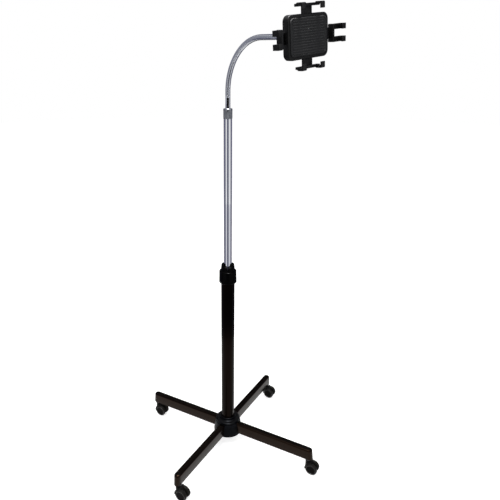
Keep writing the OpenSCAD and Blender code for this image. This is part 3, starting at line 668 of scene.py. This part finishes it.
def addKnurl(bm, low, tall):
    # straight teeth that fade out at both ends
    steps, margin, levels = knurl["teeth"] * knurl["perTooth"], knurl["margin"], knurl["levels"]
    heights = [margin + (tall - 2 * margin) * k / levels for k in range(levels + 1)]
    rows = []
    for h in knurl["firstLevels"] + heights + [tall - knurl["lastLevel"]]:
        fade = min(1.0, h / knurl["fade"], max(0.0, (tall - h) / knurl["fade"]))
        crest = ring["r"] - knurl["inset"] - knurl["endInset"] * (1 - fade)
        row = []
        for k in range(steps):
            a = math.tau * k / steps
            tooth = 0.5 + 0.5 * math.cos(a * knurl["teeth"])
            r = crest - knurl["depth"] * (1 - tooth) * fade
            row.append(bm.verts.new((r * math.cos(a), r * math.sin(a), low + h)))
        rows.append(row)
    stitch(bm, rows)


def makeCouplingRing():
    # knurl below, plain rounded shoulder above
    r, bore, low, high = ring["r"], ring["bore"], ring["foot"], ring["foot"] + ring["h"]
    split, inside = high - ring["shoulder"], low + ring["boreH"]
    core, step = r - ring["under"], split - ring["step"]
    bm = bmesh.new()
    addKnurl(bm, low, split - low)
    collar = bmesh.new()
    outline = rounded([
        (bore, low), (r - ring["footIn"], low), (core, low + ring["footH"]), (core, step), (r, step),
        (r, high), (ring["neckR"], high), (ring["neckR"], inside), (bore, inside),
    ], ring["edges"], 9)
    lathe(collar, outline, steps=120)
    addInto(bm, collar)
    makePiece("couplingRing", bm, ringMetal, "upper_pole", ["coupling_ring"])


def makeFerrule():
    r, low, high, near = ferrule["r"], ferrule["low"], ferrule["high"], ferrule["near"]
    flange, flangeR = low + ferrule["flangeH"], ferrule["flangeR"]
    groove, half = high - ferrule["grooveAt"], ferrule["grooveHalf"]
    bm = bmesh.new()
    outline = rounded([
        (0, low), (flangeR, low), (flangeR, flange), (r, flange), (r, flange + near), (r, groove - near),
        (r, groove - half), (r - ferrule["grooveD"], groove), (r, groove + half), (r, high), (0, high),
    ], ferrule["edges"], 4)
    lathe(bm, outline, closed=False)
    makePiece("lowerFerrule", bm, chromePlate, "upper_pole", ["lower_ferrule"])


makeCouplingRing()
makeFerrule()


# gooseneck: one wound sheath, cut where each stretch stays stiff, and bent across the hinges between
neck = {"base": 1105.0, "rise": 11.0, "lowR": 134.0, "highR": 116.0, "split": 52.0, "straight": 74.0,
        "parts": 6, "r": 6.7, "depth": 0.25, "pitch": 2.0, "sides": 40, "perRib": 8, "crest": 0.2,
        "soil": 1.6, "spread": 23.0}
lowLen = neck["lowR"] * math.radians(neck["split"])
highLen = neck["highR"] * math.radians(90 - neck["split"])
neckLen = neck["rise"] + lowLen + highLen + neck["straight"]
stretch = neckLen / neck["parts"]


def neckTurn(s):
    s = max(0.0, s - neck["rise"])
    if s < lowLen:
        return s / neck["lowR"]
    if s < lowLen + highLen:
        return math.radians(neck["split"]) + (s - lowLen) / neck["highR"]
    return math.pi / 2


def neckPoint(s):
    a, b = neckTurn(s), math.radians(neck["split"])
    foot = neck["base"] + min(s, neck["rise"])
    s = max(0.0, s - neck["rise"])
    if s < lowLen:
        return Vector((0, -neck["lowR"] * (1 - math.cos(a)), foot + neck["lowR"] * math.sin(a)))
    reach = neck["lowR"] * (1 - math.cos(b)) + neck["highR"] * (math.cos(b) - math.cos(a))
    rise = neck["lowR"] * math.sin(b) + neck["highR"] * (math.sin(a) - math.sin(b))
    return Vector((0, -reach - max(0.0, s - lowLen - highLen), foot + rise))


def neckRow(bm, s, grooveShadeLayer):
    # one turn round the sheath: ribs wind on by a pitch, and their grooves are marked for painted shade
    sides = neck["sides"]
    across = Vector((1, 0, 0))
    up = Vector((0, math.cos(neckTurn(s)), math.sin(neckTurn(s))))
    row = []
    for n in range(sides):
        t = math.tau * n / sides
        wave = 0.5 + 0.5 * math.cos(math.tau * (s / neck["pitch"] - n / sides))
        crest = wave ** neck["crest"]
        r = neck["r"] - neck["depth"] * (1 - crest)
        vert = bm.verts.new(neckPoint(s) + r * (across * math.cos(t) + up * math.sin(t)))
        vert[grooveShadeLayer] = max(0.0, 1 - crest * neck["soil"])
        row.append(vert)
    return row


def makeNeckPiece(k):
    first = 0.0 if k == 1 else (k - 0.5) * stretch
    last = neckLen if k == neck["parts"] - 1 else (k + 0.5) * stretch
    rows = round((last - first) / neck["pitch"] * neck["perRib"])
    bm = bmesh.new()
    grooveShadeLayer = bm.verts.layers.float.new("groove")
    stitch(bm, [neckRow(bm, first + (last - first) * j / rows, grooveShadeLayer) for j in range(rows + 1)])
    nodes = [f"neck_hose_{k}", f"neck_core_{k}"]
    if k == neck["parts"] - 1:
        nodes += [f"neck_hose_{k + 1}", f"neck_core_{k + 1}"]
    piece = makePiece(f"neckSheath_{k}", bm, neckSteel, None, nodes, sharp=80)
    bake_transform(piece)


for k in range(1, neck["parts"]):
    makeNeckPiece(k)
print("gooseneck made, length", round(neckLen, 1), "mm")


# ball joint, turned about the line that runs towards the front
endFerrule = {"r": 7.2, "len": 22.0, "grooveAt": 5.4, "grooveHalf": 0.4, "taper": 1.2, "taperLen": 4.0,
              "bore": 4.05, "boreLen": 10.0, "edges": (0, 0.9, 0.2, 0.2, 0.2, 1.5, 0.8, 0.3, 0, 0)}
joint = {"ball": 10.0, "stud": 4.0, "studShow": 20.0, "studLow": -31.5, "studNear": -12.0, "studEdge": 0.5,
         "socketIn": 12.1, "socket": 15.1, "mouth": -5.0, "mouthR": 11.02, "mouthTurn": 1.145,
         "backWall": 3.3, "rootW": 6.0, "rootH": 0.2, "rootIn": 0.3, "edges": (0.4, 0.8, 4.5, 0.5, 0),
         "roll": 5.5}
lockRing = {"r": 19.0, "low": -7.6, "len": 15.5, "flutes": 12, "perFlute": 16, "inset": 0.1, "dip": 1.1,
            "bore": 15.5, "lip": 11.6, "lipH": 2.2, "lipEdge": 0.4}
neckEnd = -neckPoint(neckLen).y
holderZ = neckPoint(neckLen).z
ballReach = neckEnd + endFerrule["len"] + joint["studShow"]
shellReach = ballReach + joint["socketIn"] + joint["backWall"]


def front(reach):
    # local X stays, local Y goes up, local Z goes to the front
    return Matrix(((1, 0, 0, 0), (0, 0, -1, -reach), (0, 1, 0, holderZ), (0, 0, 0, 1)))


def hold():
    # the same at the back of the holder, with its roll
    return front(shellReach) @ Matrix.Rotation(math.radians(joint["roll"]), 4, "Z")


def ballArc(r, start, stop, steps):
    # outline of a ball, from one angle to another, where 0 is its foot
    turns = [start + (stop - start) * k / steps for k in range(steps + 1)]
    return [(r * math.sin(a), -r * math.cos(a)) for a in turns]


def makeEndFerrule():
    r, length, bore = endFerrule["r"], endFerrule["len"], endFerrule["bore"]
    groove, half = endFerrule["grooveAt"], endFerrule["grooveHalf"]
    taper, seat = length - endFerrule["taperLen"], length - endFerrule["boreLen"]
    bm = bmesh.new()
    outline = rounded([
        (0, 0), (r, 0), (r, groove - half), (r - half, groove), (r, groove + half), (r, taper),
        (r - endFerrule["taper"], length), (bore, length), (bore, seat), (0, seat),
    ], endFerrule["edges"], 4)
    lathe(bm, outline, closed=False)
    makePiece("endFerrule", bm, chromePlate, "neck_6", ["end_ferrule"], front(neckEnd))


def makeBallStud():
    ball, stud, low, edge = joint["ball"], joint["stud"], joint["studLow"], joint["studEdge"]
    profile = [(0, low), (stud - edge, low), (stud, low + edge), (stud, joint["studNear"])]
    profile += ballArc(ball, math.asin(stud / ball), math.pi, 40)
    bm = bmesh.new()
    lathe(bm, profile, closed=False)
    makePiece("ballStud", bm, zincSteel, "ball", ["ball_stud"], front(ballReach))


def makeLockRing():
    r, low, length = lockRing["r"], lockRing["low"], lockRing["len"]
    steps = lockRing["flutes"] * lockRing["perFlute"]
    outline = []
    for k in range(steps):
        a = math.tau * k / steps
        dip = max(0.0, math.cos(a * lockRing["flutes"])) ** 3
        fluteR = r - lockRing["inset"] - lockRing["dip"] * dip
        outline.append((fluteR * math.cos(a), fluteR * math.sin(a)))
    bm = bmesh.new()
    levels = ((0.0, 1.6), (0.35, 0.7), (1.1, 0.0), (length - 0.7, 0.0), (length - 0.2, 0.3), (length, 0.8))
    rows = []
    for z, inset in levels:
        rows.append([bm.verts.new((x * (r - inset) / r, y * (r - inset) / r, low + z)) for x, y in outline])
    stitch(bm, rows)
    # bore and lip
    bore, lip, lipH, edge = lockRing["bore"], lockRing["lip"], lockRing["lipH"], lockRing["lipEdge"]
    profile = ((bore, length), (bore, lipH), (lip, lipH), (lip, edge), (lip + edge, 0.0))
    bores = [circleRow(bm, radius, low + z, steps) for radius, z in profile]
    stitch(bm, [rows[-1], *bores, rows[0]])
    makePiece("ballLockRing", bm, holderPlastic, "lock_ring", ["ball_lock_ring"],
              front(ballReach), sharp=35)


makeEndFerrule()
makeBallStud()
makeLockRing()
print("ball joint made")


# holder's case: depths run from the back of the shell to the front, and a level is a depth with its inset
case = {"w": 130.0, "h": 92.0, "r": 14.0, "back": 2.5, "lane": 5.4, "plate": 3.0, "pad": 1.8, "padInset": 7.0,
        "sideLane": 12.2, "tallLane": 15.2}
shell = {"levels": ((0.0, 2.4), (0.25, 1.4), (0.75, 0.65), (1.4, 0.2), (2.2, 0.0), (case["back"], 0.0)),
         "screwIn": 9.0, "well": ((3.6, 0.0), (3.35, 0.25), (3.3, 2.1), (0.5, 2.1)), "wellSides": 32}
plate = {"levels": ((0.0, 0.25), (0.25, 0.0), (1.3, 0.0), (1.9, 0.18), (2.45, 0.6), (2.8, 1.2), (3.0, 2.2),
                    (3.0, 6.0), (2.6, 6.3), (2.6, 6.8)), "ease": 0.7}
pad = {"levels": ((-0.4, 0.0), (1.1, 0.0), (1.5, 0.15), (1.75, 0.5), (1.8, 1.0), (1.8, 3.6), (1.35, 4.0)),
       "ribs": 13, "ribW": 2.6, "ribR": 1.25, "ribShort": 15.0, "ribIn": 6.5, "ribSpan": (1.2, 1.78),
       "ribEdge": 0.4}
plateD = case["back"] + 2 * case["lane"]
padD = plateD + case["plate"]
slotD = padD + case["pad"]


def cutOutline(outline, axis, lane):
    # the two parts of an outline on either side of a lane
    other = 1 - axis
    parts = []
    for side in (-1, 1):
        points = [Vector(p) for p in outline if p[axis] * side > lane]
        reach = max(abs(p[other]) for p in outline if p[axis] * side > lane + 1)
        for sign in (-1, 1):
            corner = Vector((0, 0))
            corner[axis] = lane * side
            corner[other] = reach * sign
            points.append(corner)
        middle = sum(points, Vector((0, 0))) / len(points)
        points.sort(key=lambda p: math.atan2(p.y - middle.y, p.x - middle.x))
        parts.append(points)
    return parts


def loopEdges(bm, row):
    return [bm.edges.get(pair) for pair in zip(row, row[1:] + row[:1])]


def addBackWall(bm):
    # rounded wall with recesses for the screws' heads
    rows = insetRows(bm, case["w"], case["h"], case["r"], 0.0, shell["levels"])
    bm.faces.new(rows[-1])
    rim = loopEdges(bm, rows[0])
    for x in (-1, 1):
        for y in (-1, 1):
            centre = (x * (case["w"] / 2 - shell["screwIn"]), y * (case["h"] / 2 - shell["screwIn"]))
            well = [circleRow(bm, r, depth, shell["wellSides"], centre) for r, depth in shell["well"]]
            stitch(bm, well)
            rim += loopEdges(bm, well[0])
    bmesh.ops.triangle_fill(bm, use_beauty=True, use_dissolve=False, edges=rim)


def addSocket(bm):
    # socket for the ball, with a rounded root on the shell
    r, mouth, reach = joint["socket"], joint["mouth"], shellReach - ballReach
    root = reach + joint["rootIn"]
    profile = rounded([
        (joint["mouthR"], mouth), (r, mouth), (r, reach - joint["rootH"]), (r + joint["rootW"], root),
        (0, root),
    ], joint["edges"], 6, closed=False)
    socket = bmesh.new()
    lathe(socket, profile, closed=False)
    lathe(socket, ballArc(joint["socketIn"], math.pi, joint["mouthTurn"], 24), closed=False)
    addInto(bm, socket, Matrix.Translation((0, 0, -reach)))


def makeBackShell():
    outline = roundRect(case["w"], case["h"], case["r"])
    bm = bmesh.new()
    addBackWall(bm)
    # one layer with a lane for the forks, and one for the T bars
    layers = ((1, case["sideLane"], case["back"]), (0, case["tallLane"], case["back"] + case["lane"]))
    for axis, lane, low in layers:
        for part in cutOutline(outline, axis, lane):
            layer = bmesh.new()
            prism(layer, part, low, low + case["lane"])
            addInto(bm, layer)
    addSocket(bm)
    makePiece("backShell", bm, holderPlastic, "holder", ["back_shell"], hold(), sharp=30)


def makeFrontPlate():
    bm = bmesh.new()
    rows = insetRows(bm, case["w"], case["h"], case["r"], plateD, plate["levels"], plate["ease"])
    bm.faces.new(list(reversed(rows[0])))
    bm.faces.new(rows[-1])
    makePiece("frontPlate", bm, holderPlastic, "holder", ["front_plate"], hold(), sharp=35)


def makeFrontPad():
    # rubber mat with moulded ribs across it and a plain rim
    w, h = case["w"] - 2 * case["padInset"], case["h"] - 2 * case["padInset"]
    bm = bmesh.new()
    rows = insetRows(bm, w, h, case["r"] - case["padInset"] / 2, padD, pad["levels"])
    bm.faces.new(list(reversed(rows[0])))
    bm.faces.new(rows[-1])
    low, high = pad["ribSpan"]
    span = h - 2 * pad["ribIn"]
    for k in range(pad["ribs"]):
        y = -span / 2 + span * k / (pad["ribs"] - 1)
        rib = bmesh.new()
        prism(rib, roundRect(w - pad["ribShort"], pad["ribW"], pad["ribR"], 5), low, high)
        top = [e for e in rib.edges if all(v.co.z > (low + high) / 2 for v in e.verts)]
        bevelEdges(rib, top, pad["ribEdge"], 2)
        addInto(bm, rib, Matrix.Translation((0, y, padD)))
    makePiece("frontPad", bm, padRubber, "holder", ["front_pad"], hold(), sharp=45)


makeBackShell()
makeFrontPlate()
makeFrontPad()
print("holder case made")


# sliding arms: forks at the sides, T bars above and below
arm = {"t": 5.0, "laneGap": 0.2, "tongueR": 1.5, "tongueEnd": 2.0, "tongueEdge": 0.45, "channel": (4.0, 0.6),
       "channelD": 0.7, "riserT": 6.0, "riserR": 2.0, "riserEdge": 0.9, "fingerT": 3.5, "hookW": 12.0,
       "hookT": 5.0, "hookEdge": 0.8, "lip": 9.0, "lipT": 3.5, "gap": 0.3, "slot": 10.0, "skin": 0.05,
       "inside": 0.1, "bends": (0.3, 2.6, 3.4, 1.9, 1.0, 1.2, 1.2, 0.3)}
fork = {"edge": 105.5, "root": 16.0, "riser": 80.0, "w": 24.0, "span": 27.0, "layer": 0}
crossBar = {"edge": 63.5, "root": 9.0, "riser": 60.5, "w": 30.0, "span": 60.0, "layer": 1}
arms = {"right": (0, fork), "top": (90, crossBar), "left": (180, fork), "bottom": (270, crossBar)}
fingerTop = slotD - arm["laneGap"]


def addTongue(bm, one, low):
    # slides in the case, with a shallow channel along its front
    w, root, end, r = one["w"] / 2, one["root"], one["riser"] + arm["tongueEnd"], arm["tongueR"]
    tongue = bmesh.new()
    prism(tongue, rounded([(root, -w), (end, -w), (end, w), (root, w)], [r, 0, 0, r], 4), low, low + arm["t"])
    bmesh.ops.recalc_face_normals(tongue, faces=tongue.faces[:])
    face = max(tongue.faces, key=lambda f: f.calc_center_median().z)
    for width in arm["channel"]:
        bmesh.ops.inset_region(tongue, faces=[face], thickness=width, depth=0.0, use_even_offset=True)
    for v in face.verts:
        v.co.z -= arm["channelD"]
    softEdges(tongue, arm["tongueEdge"], 2)
    addInto(bm, tongue)


def addRiser(bm, one, low):
    # stands across the tongue's end
    near, far = one["riser"], one["riser"] + arm["riserT"]
    half = one["span"] / 2 + arm["hookW"] / 2
    riser = bmesh.new()
    outline = rounded([(near, -half), (far, -half), (far, half), (near, half)], arm["riserR"], 5)
    prism(riser, outline, low, fingerTop - arm["skin"])
    softEdges(riser, arm["riserEdge"])
    addInto(bm, riser)


def addHook(bm, one, side):
    # a finger and its hook, as one bent profile
    skin = arm["skin"]
    root, inner = one["riser"] + arm["riserT"] / 2, one["edge"] + arm["inside"]
    outer, tip = one["edge"] + arm["hookT"] - skin, one["edge"] - arm["lip"]
    foot, floor = fingerTop - arm["fingerT"], fingerTop - skin
    under = slotD + arm["slot"] + arm["gap"]
    top = under + arm["lipT"] - skin
    half = arm["hookW"] / 2 - skin
    hook = bmesh.new()
    outline = rounded([
        (root, foot), (outer, foot), (outer, top), (tip, top), (tip, under), (inner, under), (inner, floor),
        (root, floor),
    ], arm["bends"], 6)
    prism(hook, outline, -half, half)
    softEdges(hook, arm["hookEdge"])
    swap = Matrix(((1, 0, 0, 0), (0, 0, 1, side * one["span"] / 2), (0, 1, 0, 0), (0, 0, 0, 1)))
    bmesh.ops.reverse_faces(hook, faces=hook.faces[:])
    addInto(bm, hook, swap)


def makeArm(name):
    turn, one = arms[name]
    low = case["back"] + arm["laneGap"] + one["layer"] * case["lane"]
    bm = bmesh.new()
    addTongue(bm, one, low)
    addRiser(bm, one, low)
    for side in (-1, 1):
        addHook(bm, one, side)
    place = hold() @ Matrix.Rotation(math.radians(turn), 4, "Z")
    makePiece(f"hookArm_{name}", bm, holderPlastic, f"arm_{name}", [f"arm_{name}"], place,
              sharp=35)


for name in arms:
    makeArm(name)
print("arms made")


# casters: local origin under the swivel, +X along the trail
caster = {"trail": 15.0, "gap": 9.0, "hood": 21.5, "hoodIn": 19.0, "from": 100.0, "to": 192.0, "hoodW": 26.0,
          "hoodEdge": 0.8, "web": 7.0, "webIn": 10.0, "webOpen": 25.0, "webEdge": 0.6, "sink": 1.0,
          "top": 41.0, "boss": 8.0, "bossRound": 1.6, "bossLow": 2.0, "bossSides": 72, "wallRows": 3,
          "roundRows": 6}
wheel = {"r": 18.0, "w": 10.0, "bore": 2.55, "boreEnd": 7.1, "hub": 6.0, "well": 12.2, "wellD": 2.4,
         "shoulder": 0.7, "bead": (15.4, 15.2, 14.2), "disc": 13.8, "discD": 1.0, "dimple": 3.0,
         "dimpleD": 1.1, "markR": 13.9, "discMark": 1.5, "rimMark": 0.65,
         "edges": (0.2, 0.3, 0.4, 0.4, 0.4, 2.6, 3.4, 0.5, 0.35, 0.35, 0.6, 0.8, 0, 0, 0.2)}


def casterPlace(i):
    a = legTurn(i)
    underNose = Matrix.Translation((noseX * math.cos(a), noseX * math.sin(a), 0))
    return underNose @ Matrix.Rotation(legTurn(1), 4, "Z")


def makeWheel(i, name, side):
    r, w, bore, well = wheel["r"], wheel["w"], wheel["bore"], wheel["well"]
    shoulder, dish = w - wheel["shoulder"], w - wheel["discD"]
    beadFoot, beadOut, beadIn = wheel["bead"]
    bm = bmesh.new()
    outline = rounded([
        (bore, 0), (wheel["hub"], 0), (wheel["hub"], wheel["wellD"]), (well, wheel["wellD"]), (well, 0),
        (r, 0), (r, shoulder), (beadFoot, shoulder), (beadOut, w), (beadIn, w), (wheel["disc"], dish),
        (wheel["dimple"], dish), (0, w - wheel["dimpleD"]), (0, wheel["boreEnd"]), (bore, wheel["boreEnd"]),
    ], wheel["edges"], 6)
    lathe(bm, outline)
    # the disc and the rim round it are marked for the finish
    discLayer = bm.verts.layers.float.new("disc")
    rimLayer = bm.verts.layers.float.new("rim")
    for v in bm.verts:
        across = v.co.xy.length
        v[discLayer] = 1.0 if v.co.z > w - wheel["discMark"] and across < wheel["markR"] else 0.0
        v[rimLayer] = 1.0 if v.co.z > w - wheel["rimMark"] and across > wheel["markR"] else 0.0
    turn = Matrix.Rotation(math.radians(-90 * side), 4, "X")
    place = casterPlace(i) @ Matrix.Translation((caster["trail"], side * caster["gap"] / 2, r)) @ turn
    makePiece(f"casterWheel_{i}_{name}", bm, wheelPlastic, f"caster_{i}_wheel_{name}",
              [f"caster_{i}_wheel_{name}"], place)


def arcPoints(radius, start, stop, steps):
    turns = [math.radians(start + (stop - start) * k / steps) for k in range(steps + 1)]
    return [(radius * math.cos(a), radius * math.sin(a)) for a in turns]


def addBoss(bm, seat):
    # boss for the stem: its foot follows the hood
    steps, edge = caster["bossSides"], caster["bossRound"]
    wall, bend = caster["wallRows"], caster["roundRows"]
    boss = bmesh.new()
    rows = []
    for level in range(wall + bend + 1):
        bulge = max(0, level - wall) / bend * math.pi / 2
        r = caster["boss"] - edge * (1 - math.cos(bulge))
        row = []
        for k in range(steps):
            a = math.tau * k / steps
            x = caster["boss"] * math.cos(a) - caster["trail"]
            foot = wheel["r"] + math.sqrt(max(caster["bossLow"] ** 2, seat ** 2 - x ** 2))
            z = foot + (caster["top"] - edge - foot) * min(1.0, level / wall) + edge * math.sin(bulge)
            row.append(boss.verts.new((r * math.cos(a), r * math.sin(a), z)))
        rows.append(row)
    stitch(boss, rows)
    boss.faces.new(rows[-1])
    addInto(bm, boss)


def makeHousing(i):
    start, stop, half = caster["from"], caster["to"], caster["hoodW"] / 2
    seat = caster["hoodIn"] + caster["sink"]
    onAxle = Matrix.Translation((caster["trail"], 0, wheel["r"])) @ Matrix.Rotation(math.radians(90), 4, "X")
    bm = bmesh.new()
    hood = bmesh.new()
    outline = arcPoints(caster["hood"], start, stop, 36) + arcPoints(caster["hoodIn"], stop, start, 36)
    prism(hood, outline, -half, half)
    softEdges(hood, caster["hoodEdge"])
    addInto(bm, hood, onAxle)
    web = bmesh.new()
    inner = arcPoints(caster["webIn"], stop + caster["webOpen"], start + 360 - caster["webOpen"], 24)
    prism(web, arcPoints(seat, start, stop, 36) + inner, -caster["web"] / 2, caster["web"] / 2)
    softEdges(web, caster["webEdge"], 2)
    addInto(bm, web, onAxle)
    addBoss(bm, seat)
    makePiece(f"casterHood_{i}", bm, casterPlastic, f"caster_{i}", [f"caster_{i}_housing"],
              casterPlace(i))


for i in legNumbers:
    makeHousing(i)
    makeWheel(i, "left", 1)
    makeWheel(i, "right", -1)
print("casters made")


# finishes on the solids that stay
kept = {
    hubPlastic: ["base_hub"],
    zincSteel: ["leg_bolts", "pole_bolt", "shell_screws"] + [f"caster_{i}_pins" for i in legNumbers],
    socketPlastic: ["caster_sockets"],
    naturalNylon: ["guide_bush", "ball_liner"],
}
for finish, nodes in kept.items():
    for node in nodes:
        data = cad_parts[node].data
        data.materials.clear()
        data.materials.append(finish)
print("kept solids finished")


# stage, in metres: white floor that keeps the shadow, and soft light
stage = {"floorR": 9.0, "floorZ": -0.0004, "floorTone": (0.8, 0.8, 0.8), "floorRough": 0.9, "glow": 0.62,
         "ambient": 0.55, "panelSteps": 24}
white = (1.0, 1.0, 1.0)
black = (0.0, 0.0, 0.0)

# glowing panels round the pole that only reflections see: painted reflections, dark and bright, with turns in
# degrees from the camera's side
backTone = (0.2, 0.2, 0.28)
cardTone = (0.88, 0.88, 0.92)
panels = {
    "flagFront": {"r": 0.7, "turns": (-23, 22), "heights": (0.0, 3.2), "tone": (0.13, 0.135, 0.2)},
    "flagBack": {"r": 0.7, "turns": (76, 226), "heights": (0.0, 3.2), "tone": backTone},
    "flagCore": {"r": 0.69, "turns": (150, 210), "heights": (0.0, 1.05), "tone": (0.02, 0.02, 0.025)},
    "flagLeft": {"r": 0.7, "turns": (226, 298), "heights": (0.0, 1.02), "tone": backTone},
    "flagSide": {"r": 0.7, "turns": (226, 298), "heights": (1.02, 1.85), "tone": (0.45, 0.46, 0.52)},
    "flagHigh": {"r": 0.12, "turns": (-56, 54), "heights": (1.0615, 1.0965), "tone": (0.004, 0.004, 0.005)},
    "flagLow": {"r": 0.7, "turns": (-62, 76), "heights": (0.0, 0.28), "tone": (0.03, 0.03, 0.04)},
    "cardLeft": {"r": 0.7, "turns": (-62, -23), "heights": (0.28, 0.62), "tone": cardTone},
    "cardRight": {"r": 0.7, "turns": (22, 76), "heights": (0.28, 0.62), "tone": cardTone},
}
# a lamp that isn't soft only makes highlights
lamps = {
    "keyLamp": {"place": (-1.5, -0.9, 2.3), "aim": (0, 0, 0.5), "size": (0.9, 0.9), "power": 26.0,
                "colour": (1.0, 0.98, 0.95), "soft": True},
    "fillLamp": {"place": (0.6, -1.9, 2.0), "aim": (0, 0, 0.5), "size": (1.0, 1.2), "power": 14.0,
                 "colour": (0.95, 0.97, 1.0), "soft": True},
    "backLamp": {"place": (1.0, 1.6, 2.2), "aim": (0, 0, 0.6), "size": (1.2, 0.8), "power": 16.0,
                 "colour": white, "soft": True},
    "sparkLamp": {"place": (-0.1, -0.25, 2.5), "aim": (0, 0, 0.5), "size": (0.2, 0.2), "power": 260.0,
                  "colour": white, "soft": False},
}


def seenRays(tree):
    # 1 for the rays that show a surface to the camera, straight or by way of a gloss or a clear piece
    path = addNode(tree, "ShaderNodeLightPath")
    seen = path.outputs["Is Camera Ray"]
    for kind in ("Is Glossy Ray", "Is Transmission Ray"):
        either = addNode(tree, "ShaderNodeMath", operation="MAXIMUM")
        tree.links.new(seen, either.inputs[0])
        tree.links.new(path.outputs[kind], either.inputs[1])
        seen = either.outputs["Value"]
    return seen


def makeStagePiece(name, bm, tone, glowTone):
    mesh = bpy.data.meshes.new(name)
    bm.to_mesh(mesh)
    bm.free()
    piece = bpy.data.objects.new(name, mesh)
    bpy.context.scene.collection.objects.link(piece)
    material = bpy.data.materials.new(name)
    material.use_nodes = True
    tree = material.node_tree
    shader = tree.nodes["Principled BSDF"]
    setInputs(shader, {
        "Base Color": (*tone, 1.0), "Specular IOR Level": 0.0, "Emission Color": (*glowTone, 1.0),
    })
    mesh.materials.append(material)
    return piece, tree, shader


def makeFloor():
    bm = bmesh.new()
    bmesh.ops.create_circle(bm, cap_ends=True, segments=96, radius=stage["floorR"])
    floor, tree, shader = makeStagePiece("stageFloor", bm, stage["floorTone"], white)
    floor.location.z = stage["floorZ"]
    setInputs(shader, {"Roughness": stage["floorRough"]})
    glow = addNode(tree, "ShaderNodeMath", {1: stage["glow"]}, operation="MULTIPLY")
    tree.links.new(seenRays(tree), glow.inputs[0])
    tree.links.new(glow.outputs["Value"], shader.inputs["Emission Strength"])


def makeWorld():
    world = bpy.data.worlds.new("studioWorld")
    bpy.context.scene.world = world
    world.use_nodes = True
    tree = world.node_tree
    back = tree.nodes["Background"]
    setInputs(back, {"Color": (*white, 1.0)})
    strength = addNode(tree, "ShaderNodeMapRange", {"To Min": stage["ambient"], "To Max": 1.0})
    tree.links.new(seenRays(tree), strength.inputs["Value"])
    tree.links.new(strength.outputs["Result"], back.inputs["Strength"])


def makePanel(name):
    one = panels[name]
    middle = math.atan2(shot["place"][1], shot["place"][0])
    start, stop = one["turns"]
    steps, r = stage["panelSteps"], one["r"]
    bm = bmesh.new()
    rows = []
    for k in range(steps + 1):
        a = middle + math.radians(start + (stop - start) * k / steps)
        rows.append([bm.verts.new((r * math.cos(a), r * math.sin(a), z)) for z in one["heights"]])
    for a, b in zip(rows, rows[1:]):
        bm.faces.new((a[0], b[0], b[1], a[1]))
    panel, tree, shader = makeStagePiece(name, bm, black, one["tone"])
    # the panel glows at its tone: a painted reflection, dark or bright
    setInputs(shader, {"Emission Strength": 1.0})
    panel.visible_camera = False
    panel.visible_diffuse = False
    panel.visible_transmission = False
    panel.visible_shadow = False


def makeLamp(name):
    one = lamps[name]
    data = bpy.data.lights.new(name, "AREA")
    data.shape = "RECTANGLE"
    data.size, data.size_y = one["size"]
    data.energy = one["power"]
    data.color = one["colour"]
    lamp = bpy.data.objects.new(name, data)
    placeLooking(lamp, one["place"], Vector(one["aim"]) - Vector(one["place"]))
    lamp.visible_camera = False
    lamp.visible_diffuse = one["soft"]


makeFloor()
makeWorld()
for name in panels:
    makePanel(name)
for name in lamps:
    makeLamp(name)
bpy.context.scene.view_settings.view_transform = "Standard"
print("stage set")
